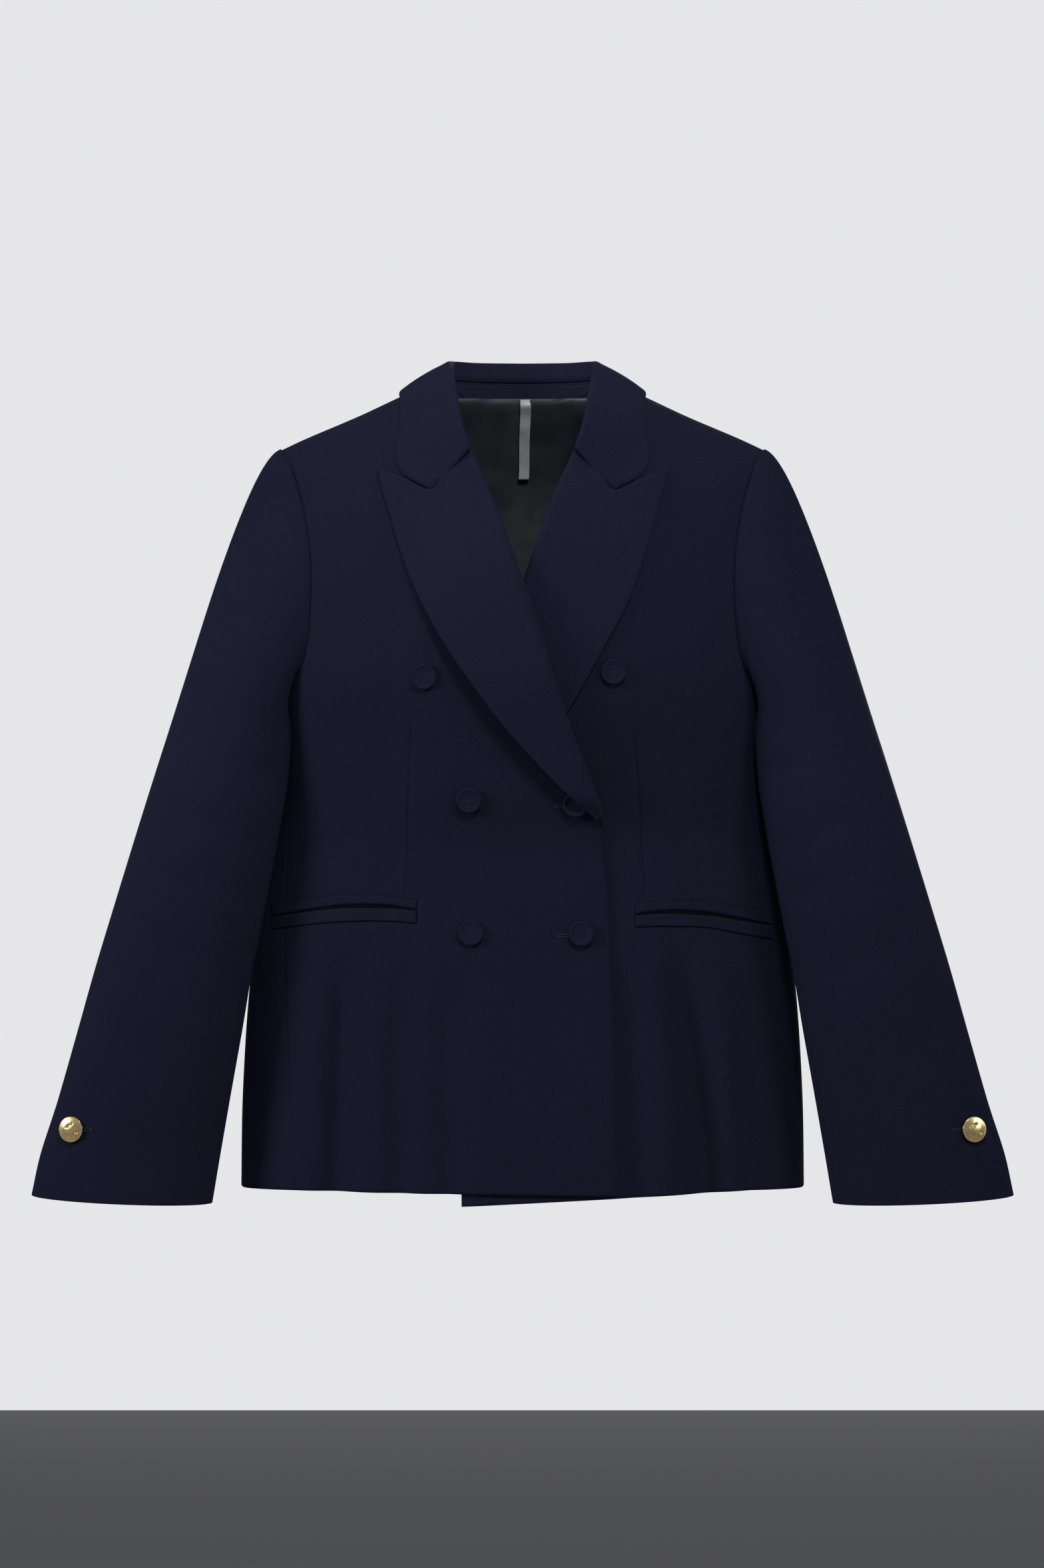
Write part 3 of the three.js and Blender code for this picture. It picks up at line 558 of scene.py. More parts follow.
def frontPanel(hand):
    s = frontSet[hand]
    edge = s["edge"]
    t = np.linspace(0, 1, frontSet["rows"] + 1)[:, None]
    chest = 0.34  # share of the rows above the underarm
    upper = np.minimum(t / chest, 1)
    lower = np.clip((t - chest) / (1 - chest), 0, 1)
    lower = 1 - (1 - lower) ** 1.25  # finer at the hem
    outerZ = mix(mix(body["shoulder"], body["underarm"], upper), body["hem"], lower)
    innerZ = mix(mix(edge[0, 0], body["underarm"], upper), edge[-1, 0], lower)
    outerX = np.where(t <= chest, readTable(armholeFront, outerZ, 1), readTable(sideFront, outerZ, 1))
    innerX = readTable(edge, innerZ, 1)
    a, b, c, d = s["dartX"]
    dartX = np.interp(t, [0, 0.36, 0.6, 1], [a, b, c, d])
    near, far = frontSet["columns"]
    first = bunched(near)[None, :]
    second = bunched(far)[None, 1:]
    x = np.concatenate([mix(innerX, dartX, first), mix(dartX, outerX, second)], 1)
    u = (x - innerX) / (outerX - innerX)
    z = mix(innerZ, outerZ, u) + padRise(x) * (1 - soft(0, 0.5, upper))
    out = lap(hand * x, z) if hand < 0 else np.zeros_like(x)
    grid = bodyPoint(-1, hand * x, z, out)
    top, low = s["dart"]
    inDart = soft(top + 14, top - 14, z) * (1 - soft(low + 10, low - 4, z))
    dart = frontSet["dartDeep"] * inDart * np.exp(-(((x - dartX) / frontSet["dartHalf"]) ** 2))
    thick = body["wall"] * edgeSoft(gridEdge(grid)) - dart
    piece = clothWall(s["name"] + "_cloth", grid, np.maximum(thick, 0.5), lambda p: (p[0], -60, 0))
    return rideAs(piece, s["name"], wool, grid)


# side panels: by angle round the body's section, 0 at the side
sideSet = {"tuck": 0.01, "sink": 0.9, "rows": 110, "columns": 44, "dip": 9}


def sectionPoint(hand, angle, z, out=0.0):
    # the superellipse by angle: negative in front, positive behind; out grows both half axes
    width = readTable(body["shape"], z, 1) + out
    depth = halfDepth(angle < 0, z) + out
    power = 2 / body["power"]
    x = width * np.abs(np.cos(angle)) ** power
    y = depth * np.abs(np.sin(angle)) ** power
    return np.stack([hand * x, np.sign(angle) * y, np.broadcast_to(z, x.shape)], -1)


def sectionAngle(side, x, z):
    width = readTable(body["shape"], z, 1)
    return side * np.arccos(np.minimum(1, x / width) ** (body["power"] / 2))


def sidePanel(hand):
    s = sideSet
    t = np.linspace(0, 1, s["rows"] + 1)[:, None]
    u = bunched(s["columns"])[None, :]
    z = mix(body["underarm"], body["hem"], 1 - (1 - t) ** 1.2)
    start = sectionAngle(-1, readTable(sideFront, z, 1), z)
    end = sectionAngle(1, readTable(sideBack, z, 1), z)
    dip = s["dip"] * np.sin(math.pi * u) * (1 - soft(0, 0.33, t))
    ripple = 0.8 * np.sin(math.pi * u) * unrest(u * 90 + 40, z, 1.0) * soft(0, 0.2, t)
    # both edges reach under the front and the back and sink a little there
    tucked = np.exp(-u / 0.02) + np.exp(-(1 - u) / 0.02)
    angle = mix(start - s["tuck"], end + s["tuck"], u)
    grid = sectionPoint(hand, angle, z - dip, ripple - s["sink"] * tucked)
    thick = body["wall"] * edgeSoft(gridEdge(grid))
    word = sideWord[hand]
    piece = clothWall(word + "_side_panel_cloth", grid, thick, lambda p: (p[0], 0, 0))
    return rideAs(piece, word + "_side_panel", wool, grid)


# back panels and their lining: columns from the centre seam outwards
backSet = {"rows": 170, "columns": 66, "drop": 0, "rise": 0}
liningSet = {"rows": 130, "columns": 60, "drop": 2.4, "rise": 20, "wall": 1.0, "gap": 2.9}
backNeck = np.array([[0, -8], [30, -4.5], [50, 3.5], [66, 15]])


def backGrid(hand, s, out, inside):
    t = np.linspace(0, 1, s["rows"] + 1)[:, None]
    chest = 0.35  # share of the rows above the underarm
    upper = np.minimum(t / chest, 1)
    lower = 1 - (1 - np.clip((t - chest) / (1 - chest), 0, 1)) ** 1.25
    base = mix(mix(body["shoulder"], body["underarm"], upper), body["hem"] + s["rise"], lower)
    outerX = np.where(t <= chest, readTable(armholeBack, base, 1), readTable(sideBack, base, 1))
    x = outerX * bunched(s["columns"])[None, :]
    shoulder = body["slope"] * (body["levelX"] - x) + padRise(x) - s["drop"]
    if inside:
        # the lining reaches up to the seam with the stand, straight across the neck
        shoulder = mix(4.0 - 0.02 * x, shoulder, soft(58, 84, x))
    else:
        shoulder = np.where(x < 66, readTable(backNeck, x, 1), shoulder)
    z = np.where(t <= chest, mix(shoulder, body["underarm"], upper), base)
    return bodyPoint(1, hand * x, z, np.full(x.shape, out))


def liningLean(x, z):
    # the lining leaves the back's cloth near the neck's edge and reaches the stand above it
    cut = readTable(backNeck, np.minimum(np.abs(x), 66), 1)
    lean = 2.6 * soft(cut - 12, cut - 1, z) + 5.9 * soft(cut + 2.5, cut + 7, z)
    return lean * (1 - soft(44, 62, np.abs(x)))


def backPanel(hand):
    grid = backGrid(hand, backSet, 0.0, False)
    thick = body["wall"] * edgeSoft(gridEdge(grid))
    word = sideWord[hand]
    piece = clothWall(word + "_back_cloth", grid, thick, lambda p: (p[0], 60, 0))
    return rideAs(piece, word + "_back", wool, grid)


def liningBack(hand):
    s = liningSet
    grid = backGrid(hand, s, -s["gap"] - s["wall"], True)
    grid[..., 1] += liningLean(grid[..., 0], grid[..., 2])
    # an ease pleat: the lining swells gently beside its centre seam
    swell = np.exp(-(((np.abs(grid[..., 0]) - 13) / 8) ** 2)) * soft(-20, -70, grid[..., 2])
    grid[..., 1] -= 1.4 * swell
    # soft upright folds where the lining hangs from the neck
    across = grid[..., 0]
    folds = 0.9 * np.sin(across / 5.2 + 0.6 * np.sin(grid[..., 2] / 40))
    folds = folds * np.exp(-((np.abs(across) - 34) / 20) ** 2)
    grid[..., 1] += folds * soft(-8, -60, grid[..., 2])
    thick = s["wall"] * edgeSoft(gridEdge(grid))
    word = sideWord[hand]
    piece = clothWall(word + "_lining_cloth", grid, thick, lambda p: (p[0], 60, 0))
    return rideAs(piece, word + "_lining_back", lining, grid)


for hand in (-1, 1):
    frontPanel(hand)
    sidePanel(hand)
    backPanel(hand)
    liningBack(hand)
print("body panels made")

# sleeves: rings by height, and a head that fans from the armhole to the first ring
sleeveSet = {
    "rings": np.array([
        [-272, 286, 182.5, 45, -26],
        [-300, 294.5, 187, 43, -34],
        [-340, 306.5, 193.5, 40.5, -44],
        [-380, 318.5, 200.8, 38, -51],
        [-422, 331, 208.6, 35.5, -56],
        [-464, 343.5, 217, 33, -59],
        [-512, 357, 225, 30, -60],
        [-566, 372.5, 235, 27, -59],
        [-610, 386.5, 243, 25, -57],
        [-645, 394, 249, 24, -56],
    ]),
    "wall": 1.6,
    "groove": 0.765,
    "off": 2.1,  # of the seam from the body's cloth
    "turnedIn": -1.5,
    "side": 1.5,
    "clearTop": 4.3,  # gap between the body and the sleeve, at its top and lower down
    "clearLow": 6.5,
    "leave": 0.1,  # lengths of the head's tangents, as shares of its chord
    "arrive": 0.42,
    "under": (0.45, 0.76),  # turns at which the front seam and the elbow seam lie
    "capRows": 70,
    "armRows": 120,
    "columns": {"upper": 112, "under": 66},
    # creases: turn, height, half turn, half height, slant, depth
    "creases": [
        (0.30, -352, 0.10, 13, 0.35, 1.9),
        (0.33, -396, 0.09, 12, 0.30, 1.6),
        (0.24, -450, 0.12, 16, 0.55, 1.7),
        (0.20, -520, 0.10, 20, 0.70, 1.3),
        (0.36, -300, 0.08, 12, 0.20, 1.5),
        (0.72, -340, 0.09, 14, -0.30, 1.5),
        (0.64, -392, 0.10, 14, -0.25, 1.7),
        (0.80, -460, 0.10, 18, -0.50, 1.3),
        (0.55, -300, 0.08, 12, 0.00, 1.3),
        (0.12, -150, 0.07, 40, 1.20, 1.0),
        (0.88, -150, 0.07, 40, -1.20, 1.0),
        (0.10, -600, 0.08, 26, 0.40, 1.0),
    ],
}


def armholeLoop(off):
    # a closed curve through listed points on the body, read by its share of the length
    points = []
    for z in (-46, -70, -100, -133, -176, -208, -230):
        points.append(bodyPoint(-1, readTable(armholeFront, z, 1), z, off, False))
    points[0] = np.array([194.7, 0, body["shoulder"] + 2.4 + off])
    for u in (0.08, 0.5, 0.92):
        z = body["underarm"] - sideSet["dip"] * math.sin(math.pi * u)
        start = sectionAngle(-1, 189, z)
        end = sectionAngle(1, 187, z)
        p = sectionPoint(1, np.array(mix(start, end, u)), np.array(z))
        points.append(p * np.array([1 + off / p[0], 1, 1]))
    for z in (-222, -190, -145, -100, -70):
        points.append(bodyPoint(1, readTable(armholeBack, z, 1), z, off, False))
    points = np.array([np.ravel(p) for p in points])
    shift = sleeveSet["side"] if off > 0 else -3.5
    points[:, 0] += shift * soft(-200, -60, points[:, 2])
    count = len(points)
    gaps = np.sqrt(np.linalg.norm(np.roll(points, -1, 0) - points, axis=1))
    knots = np.concatenate([[0], gaps.cumsum()])
    dense = []
    for i in range(count):
        p0, p1, p2, p3 = (points[(i + k) % count] for k in (-1, 0, 1, 2))
        d0, d1, d2 = gaps[i - 1], gaps[i], gaps[(i + 1) % count]
        m1 = ((p1 - p0) / d0 - (p2 - p0) / (d0 + d1) + (p2 - p1) / d1) * d1
        m2 = ((p2 - p1) / d1 - (p3 - p1) / (d1 + d2) + (p3 - p2) / d2) * d1
        t = np.linspace(0, 1, 60, endpoint=False)[:, None]
        dense.append((2 * t**3 - 3 * t**2 + 1) * p1 + (t**3 - 2 * t**2 + t) * m1
                     + (3 * t**2 - 2 * t**3) * p2 + (t**3 - t**2) * m2)
    dense = np.concatenate(dense + [points[:1]])
    along = np.concatenate([[0], np.linalg.norm(np.diff(dense, axis=0), axis=1).cumsum()])
    return dense, along / along[-1]


seamLoop = armholeLoop(sleeveSet["off"])
insideLoop = armholeLoop(sleeveSet["turnedIn"])


def loopAt(turn, loop):
    points, share = loop
    turn = turn - np.floor(turn)
    return np.stack([np.interp(turn, share, points[:, k]) for k in range(3)], -1)


def keepClear(p, gap):
    # moves a point that is inside the body's section, grown by the gap, out to its rim
    width = readTable(body["shape"], p[..., 2], 1) + gap
    depth = halfDepth(p[..., 1] < 0, p[..., 2]) + gap
    power = body["power"]
    inside = (np.abs(p[..., 0]) / width) ** power + (np.abs(p[..., 1]) / depth) ** power
    grow = np.where(inside < 1, np.maximum(inside, 1e-6) ** (-1 / power), 1)
    return np.stack([p[..., 0] * grow, p[..., 1] * grow, p[..., 2]], -1)


def sleeveRing(angle, z):
    # an ellipse between the outer and the inner edge, kept off the body
    rings = sleeveSet["rings"]
    outer, inner = readTable(rings, z, 1), readTable(rings, z, 2)
    x = (outer + inner) / 2 + (outer - inner) / 2 * np.cos(angle)
    y = readTable(rings, z, 4) - readTable(rings, z, 3) * np.sin(angle)
    p = np.stack([x, y, np.broadcast_to(z, x.shape)], -1)
    gap = mix(sleeveSet["clearTop"], sleeveSet["clearLow"], soft(-262, -330, z))
    return keepClear(p, gap)


def sleeveGrid(turn):
    # the head is a cubic curve for each turn, from the armhole to the first ring; rings follow below
    s = sleeveSet
    turn = np.asarray(turn)[None, :]
    angle = 2 * math.pi * turn
    top = s["rings"][0, 0]
    cuff = s["rings"][-1, 0]
    start = loopAt(turn, seamLoop)
    end = sleeveRing(angle, np.full(turn.shape, top))
    below = sleeveRing(angle, np.full(turn.shape, top - 20))
    chord = np.linalg.norm(end - start, axis=-1, keepdims=True)
    leave = np.stack([1 + 0 * angle, -0.45 * np.sin(angle), -0.4 + 0.09 * np.cos(angle)], -1)
    leave /= np.linalg.norm(leave, axis=-1, keepdims=True)
    arrive = end - below
    arrive /= np.linalg.norm(arrive, axis=-1, keepdims=True)
    t = (np.linspace(0, 1, s["capRows"] + 1) ** 1.15)[:, None, None]
    cap = ((1 - t) ** 3 * start + 3 * (1 - t) ** 2 * t * (start + leave * s["leave"] * chord)
           + 3 * (1 - t) * t**2 * (end + arrive * s["arrive"] * chord) + t**3 * end)
    low = (cap[..., 2] < -225) & (t[..., 0] > 0)
    cap = np.where(low[..., None], keepClear(cap, s["clearTop"]), cap)
    # the seam: three rows that turn in behind the edge of the body's cloth
    inside = loopAt(turn, insideLoop)
    seam = np.concatenate([mix(inside, start, k) for k in (0, 0.4, 0.8)])
    share = np.linspace(0, 1, s["armRows"] + 1)[1:]
    z = mix(top, cuff, 1 - (1 - share) ** 1.15)[:, None]
    around = np.broadcast_to(angle, (len(share), angle.shape[1]))
    arm = sleeveRing(around, z)
    # the cuff's edge lies square to the slanting sleeve, so it hangs lower inside and in front
    drop = 1.5 - 3 * np.cos(around) + 3.5 * np.maximum(0, np.sin(around))
    arm[..., 2] -= drop * soft(-500, cuff, z)
    grid = np.concatenate([seam, cap, arm])
    # creases: soft troughs by turn and height, each slanting a little
    normals = gridNormals(grid)
    outward = grid - grid.mean(1, keepdims=True)
    outward[..., 2] = 0
    normals = normals * np.sign((normals * outward).sum(-1).mean())
    dent = np.zeros(grid.shape[:2])
    turns = np.broadcast_to(turn - np.floor(turn), dent.shape)
    for where, height, halfTurn, halfHeight, slant, depth in s["creases"]:
        off = turns - where
        off = off - np.round(off)
        drop = grid[..., 2] - height + slant * off * 300 + 4 * np.sin(off * 40 + height)
        dent += depth * np.exp(-((off / halfTurn) ** 2) - (drop / halfHeight) ** 2)
    dent += 0.5 * unrest(turns * 300, grid[..., 2], 1.0)
    fade = np.clip((np.arange(grid.shape[0]) - 3) / 60, 0, 1)[:, None]
    # keep the side that faces the body flat, so that nothing meets there
    facing = soft(0.40, 0.47, turns) * (1 - soft(0.60, 0.67, turns))
    return grid - normals * (dent * fade * (1 - facing))[..., None]


def sleevePiece(hand, part):
    s = sleeveSet
    low, high = s["under"]
    start, end = (low, high) if part == "under" else (high - 1, low)
    columns = s["columns"][part]
    u = bunched(columns)
    u = np.concatenate([[-u[2]], u, [1 + u[2]]])
    grid = sleeveGrid(mix(start, end, u)) * np.array([hand, 1, 1])
    inner = grid[:, 1:-1]
    # the seam is a groove in the outer face, so the outer points sink a little beside it
    sink = s["groove"] * (1 - edgeSoft(gridEdge(inner, "lr"), 1.3, 0.2))
    middle = math.pi * (start + end)
    inward = np.array([-hand * math.cos(middle), math.sin(middle), 0])
    normals = normalsTowards(grid, lambda p: inward)
    sunk = grid.copy()
    sunk[:, 1:-1] += normals[:, 1:-1] * sink[..., None]
    word = sideWord[hand]
    name = word + "_" + part + "_sleeve"
    piece = clothWall(name + "_cloth", sunk, np.full(grid.shape[:2], s["wall"]), lambda p: inward, True)
    return rideAs(piece, name, wool, inner)


for hand in (-1, 1):
    sleevePiece(hand, "upper")
    sleevePiece(hand, "under")
print("sleeves made")

# lapels: from the roll line back over the front
lapelSet = {
    # share of the length, then x and height
    "roll": np.array([[0, 45, -46], [0.16, 27, -87], [0.46, -2.7, -173], [0.76, -32, -264],
                      [0.92, -53, -318], [1, -60, -340]]),
    "edge": {
        -1: np.array([[0, 116.4, -60.5], [0.1, 110, -84], [0.25, 96, -127], [0.4, 80.5, -164],
                      [0.55, 58.5, -205], [0.7, 32, -243], [0.82, 5, -276], [0.92, -24, -307.7],
                      [1, -58.6, -342]]),
        1: np.array([[0, 116.4, -60.5], [0.1, 110, -84], [0.25, 98, -127], [0.4, 84, -168],
                     [0.55, 63, -207], [0.7, 40, -248], [0.85, 10, -288], [1, -50, -326]]),
    },
    "gorge": np.array([[0, 44, -47], [0.27, 61.5, -66], [0.42, 72, -79.3],
                       [0.68, 96, -68.6], [1, 116.4, -60.5]]),
    "softRoll": {-1: 10.5, 1: 0.8},
    "belly": {-1: 1.6, 1: 0.8},
    "rows": 120,
    "columns": 44,
    "angles": 9,
}


def lapelPlace(hand, u, t):
    s = lapelSet
    edge = s["edge"][hand]
    u, t = np.broadcast_arrays(u, t)
    place = []
    for k in (1, 2):
        straight = mix(s["roll"][0, k], edge[0, k], u)
        bend = (readTable(s["gorge"], u, k) - straight) * (1 - soft(0, 0.42, t))
        place.append(bend + mix(readTable(s["roll"], t, k), readTable(edge, t, k), u))
    return place


def lapelPoint(hand, u, t):
    s = lapelSet
    x, z = lapelPlace(hand, u, t)
    u, t = np.broadcast_arrays(u, t)
    stand = s["softRoll"][hand] * soft(0.15, 0.65, t) * mix(0.75, 1, u) * (1 - 0.7 * soft(0.93, 1, t))
    belly = s["belly"][hand] * np.sin(math.pi * u) * (1 - t)
    layer = lap(hand * x, z) if hand < 0 else 0
    return bodyPoint(-1, hand * x, z, layer + body["wall"] + 1.4 + stand + belly, False)


def lapel(hand):
    s = lapelSet
    t = bunched(s["rows"])[:, None]
    top = lapelPoint(hand, np.zeros((1, 1)), t)
    along = lapelPoint(hand, np.full((1, 1), 0.1), t) - top
    along /= np.linalg.norm(along, axis=-1, keepdims=True)
    x, z = lapelPlace(hand, np.zeros((1, 1)), t)
    layer = lap(hand * x, z) if hand < 0 else np.zeros_like(x)
    low = bodyPoint(-1, hand * x, z, layer + body["wall"] / 2, False)
    up = top - low
    rise = np.linalg.norm(up, axis=-1, keepdims=True)
    up = up / rise
    degrees = np.linspace(-60, 90, s["angles"], endpoint=False)[None, :, None]
    angle = np.radians(degrees)
    radius = mix(1.4, rise, soft(-60, 90, degrees))
    rolled = low + along * (-0.35 - np.minimum(radius, 3.2) * np.cos(angle)) + up * radius * np.sin(angle)
    flat = lapelPoint(hand, bunched(s["columns"])[None, :], t)
    grid = np.concatenate([rolled, flat], 1)
    thick = 1.8 * edgeSoft(gridEdge(grid, "rtb"), 2.2, 0.5)
    word = sideWord[hand]
    piece = clothWall(word + "_lapel_cloth", grid, thick, lambda p: (0, -1, 0))
    return rideAs(piece, word + "_lapel", woolFacing, grid)


for hand in (-1, 1):
    lapel(hand)

# collar: place round the neck, then x, y and z of its base, fold and edge
collarSet = {
    "lines": np.array([
        [0, 46.5, -54, -48, 43.2, -60.3, -45.3, 71.6, -61.5, -78.2],
        [0.12, 49.5, -42, -27, 50, -50, -25, 101.5, -38, -61],
        [0.24, 53.5, -27, -6, 54.5, -30, -2, 99, -28, -31],
        [0.36, 57, -10, 4, 58, -6, 17, 99, -9, -4],
        [0.5, 57, 9, 2, 60.5, 13, 26.5, 99.5, 12, 4],
        [0.66, 50.5, 27, 0.6, 55, 38, 28.5, 88, 48, -7],
        [0.82, 34, 45, 0.3, 36, 59, 28.5, 55, 78, -17],
        [1, 0, 55.2, 0.3, 0, 67, 28.5, 0, 88, -21],
    ]),
    "around": 150,
    "across": 34,
    "standStart": 0.14,
    "fallOff": 2.4,
    "belly": 2.2,
    "seam": 0.5,  # height of the seam between the stand and the cloth of the leaf
    "fold": 0.7,  # radius inside the fold
    "liftDepth": 26,
}


def collarPlaces(start):
    s = np.linspace(0, 1, collarSet["around"] + 1)
    hand = np.where(s > 0.5, 1, -1)
    return hand, mix(start, 1, 1 - np.abs(2 * s - 1))


def collarLine(first, hand, t):
    x, y, z = (readTable(collarSet["lines"], t, first + k) for k in range(3))
    return np.stack([hand * x, y, z], -1)


def collarStand():
    s = collarSet
    hand, t = collarPlaces(s["standStart"])
    base = collarLine(1, hand, t)[:, None]
    fold = collarLine(4, hand, t)[:, None]
    u = mix(0, s["seam"] + 0.03, bunched(20))[None, :, None]
    grid = mix(base, fold, u)
    piece = clothWall("collar_stand_cloth", grid, 1.2 * edgeSoft(gridEdge(grid)), lambda p: (p[0], p[1], 0))
    return rideAs(piece, "collar_stand", woolFacing, grid)


def overShoulder(p):
    # lifts a point near the shoulder seam until it clears it, and moves others out
    s = collarSet
    side = np.where(p[..., 1] < 0, -1, 1)
    near = np.abs(p[..., 1]) < s["liftDepth"]

    def depth(x, z):
        return np.abs(np.where(side < 0, bodyDepth(-1, x, z, False), bodyDepth(1, x, z, False)))

    z = p[..., 2].copy()
    for _ in range(160):
        low = near & (depth(p[..., 0], z - s["fallOff"]) > np.abs(p[..., 1]))
        if not low.any():
            break
        z = np.where(low, z + 0.25, z)
    limit = depth(p[..., 0], z) + np.where(near, 0, s["fallOff"])
    y = np.where(np.abs(p[..., 1]) < limit, side * limit, p[..., 1])
    return np.stack([p[..., 0], y, z], -1)


def smoothed(grid, times):
    # evens out the steps of the lift; the outer edge is evened along itself alone
    for _ in range(times):
        grid[1:-1, 1:-1] = (grid[:-2, 1:-1] + grid[2:, 1:-1] + grid[1:-1, :-2] + grid[1:-1, 2:]) / 4
        grid[1:-1, -1] = (grid[:-2, -1] + 2 * grid[1:-1, -1] + grid[2:, -1]) / 4
    return grid


def collarFall():
    s = collarSet
    hand, t = collarPlaces(0)
    base, fold, edge = (collarLine(k, hand, t)[:, None] for k in (1, 4, 7))
    lift = fold - base
    lift /= np.linalg.norm(lift, axis=-1, keepdims=True)
    # up the inside from the seam, round the fold, then down the leaf
    out = edge - fold
    out = out - lift * (out * lift).sum(-1, keepdims=True)
    out /= np.linalg.norm(out, axis=-1, keepdims=True)
    rise = mix(s["seam"], 0.97, np.linspace(0, 1, 14))[None, :, None]
    inside = mix(base, fold, rise) - out * s["fold"]
    angle = np.radians(np.linspace(15, 80, 6))[None, :, None]
    rolled = fold + s["fold"] * (np.sin(angle) * lift - np.cos(angle) * out)
    u = np.linspace(0, 1, s["across"] + 1)[None, 1:, None]
    share = soft(-0.3, 1.15, u)
    share = (share - soft(-0.3, 1.15, 0)) / (soft(-0.3, 1.15, 1) - soft(-0.3, 1.15, 0))
    arch = s["belly"] * np.sin(math.pi * np.minimum(1, u * 1.1)) * soft(0, 0.2, t)[:, None, None]
    leaf = mix(fold + s["fold"] * lift, edge, share) + lift * arch
    leaf = overShoulder(leaf)
    grid = np.concatenate([inside, rolled, leaf], 1)
    grid[:, 20:] = smoothed(grid[:, 20:].copy(), 14)
    edgeGap = np.minimum(gridEdge(grid, "tb") * 1.4, gridEdge(grid, "r"))
    thick = np.minimum(1.9 * edgeSoft(edgeGap, 3.0, 0.35), 0.5 + 1.4 * soft(0, 3, gridEdge(grid, "l")))
    piece = clothWall("collar_fall_cloth", grid, thick, lambda p: (p[0], p[1], 60))
    return rideAs(piece, "collar_fall", woolFacing, grid)


collarStand()
collarFall()
print("lapels and collar made")

# pocket welts: u, x, top, slit, bottom
weltSet = {
    -1: np.array([[0, -84.5, -406.5, -414.5, -425], [0.2, -105, -403.5, -412, -423.5],
                  [0.5, -136, -402.5, -411.5, -423.5], [0.75, -163, -404.5, -414, -425.5],
                  [1, -200, -409, -420.5, -430.5]]),
    1: np.array([[0, 90, -409, -418, -428], [0.25, 115, -407.5, -416, -427.5],
                 [0.5, 146, -408, -417.5, -428.5], [0.75, 175, -412.5, -422.5, -434],
                 [1, 199, -417, -427.5, -438.5]]),
    "slit": 1.5,
    "seam": 0.45,
    "off": 2.15,
}


def welt(hand, word):
    place = weltSet[hand]
    u = bunched(70)[:, None]
    v = bunched(22)[None, :]
    x = readTable(place, u, 1)
    mouth = weltSet["slit"] * (0.25 + 0.9 * np.sin(math.pi * u**0.75))
    slit = readTable(place, u, 3) + (mouth if word == "upper" else -mouth)
    far = readTable(place, u, 2 if word == "upper" else 4)
    z = mix(slit, far, v)
    x = x * np.ones_like(z)
    out = weltSet["off"] + (lap(x, z) if hand < 0 else 0) + 0 * z
    grid = bodyPoint(-1, x, z, out)
    # a flat folded strip: rounded at the slit, sunk into its seams elsewhere
    rounded = edgeSoft(gridEdge(grid, "l"), 1.4, 0.3)
    thick = 1.25 * np.minimum(edgeSoft(gridEdge(grid, "tbr"), 0.7, 0.3), rounded)
    side = sideWord[hand]
    node = side + "_" + word + "_welt"
    piece = clothWall(node + "_cloth", grid, thick, lambda p: (p[0] * 0.3, -60, 0))
    return rideAs(piece, node, wool, grid)


def pocketMouthShade(hand):
    # a near-black sheet under the welts: painted shade seen in the slit, and a thin painted shadow line in
    # the seams round the welts
    place = weltSet[hand]
    u = np.linspace(0, 1, 60)[:, None]
    v = np.linspace(0, 1, 15)[None, :]
    z = mix(readTable(place, u, 2) + weltSet["seam"], readTable(place, u, 4) - weltSet["seam"], v)
    x = (readTable(place, u, 1) - hand * weltSet["seam"] * (1 - u) ** 9) * np.ones_like(z)
    grid = bodyPoint(-1, x, z, body["wall"] + 0.05 + (lap(x, z) if hand < 0 else 0))
    side = sideWord[hand]
    piece = clothWall(side + "_pocket_mouth_shade", grid, 0.2, lambda p: (p[0] * 0.3, -60, 0))
    return rideAs(piece, None, pocketShadeSheet, grid)


for hand in (-1, 1):
    for word in ("upper", "lower"):
        welt(hand, word)
    pocketMouthShade(hand)
print("pockets made")

# buttons: a profile turned about the surface's normal


def turned(name, profile, centre, normal, segments, dent=None):
    # profile carried round the axis: radius times cosine and sine of the turn, height along the normal
    r, h = np.array(profile, float).T
    angle = np.linspace(0, 2 * math.pi, segments, endpoint=False)
    normal = np.asarray(normal) / np.linalg.norm(normal)
    side = np.cross(normal, [0, 0, 1.0])
    side /= np.linalg.norm(side)
    up = np.cross(side, normal)
    ring = np.cos(angle)[:, None] * side + np.sin(angle)[:, None] * up
    height = h[:, None] + (dent(r[:, None], angle[None, :]) if dent else 0)
    points = centre + r[:, None, None] * ring[None] + np.asarray(height)[..., None] * normal
    rows, columns = points.shape[:2]
    index = np.arange(rows * columns).reshape(rows, columns)
    after = np.roll(index, -1, axis=1)
    quads = np.stack([index[:-1], after[:-1], after[1:], index[1:]], -1).reshape(-1, 4)
    points = points.reshape(-1, 3)
    points = np.concatenate([points, [points[:columns].mean(0)], [points[-columns:].mean(0)]])
    low, high = rows * columns, rows * columns + 1
    faces = quads.tolist()
    faces += [[a, b, low] for a, b in zip(after[0].tolist(), index[0].tolist())]
    faces += [[a, b, high] for a, b in zip(index[-1].tolist(), after[-1].tolist())]
    if volumeOf(points - centre, quads) < 0:
        faces = [face[::-1] for face in faces]
    return addObject(name, points, faces)


def roundedProfile(rows, steps=5):
    # a curve through the profile's corners
    rows = np.array(rows, float)
    t = np.arange(len(rows))
    at = np.linspace(0, len(rows) - 1, (len(rows) - 1) * steps + 1)
    table = np.column_stack([t, rows])
    return np.column_stack([readTable(table, at, 1), readTable(table, at, 2)])


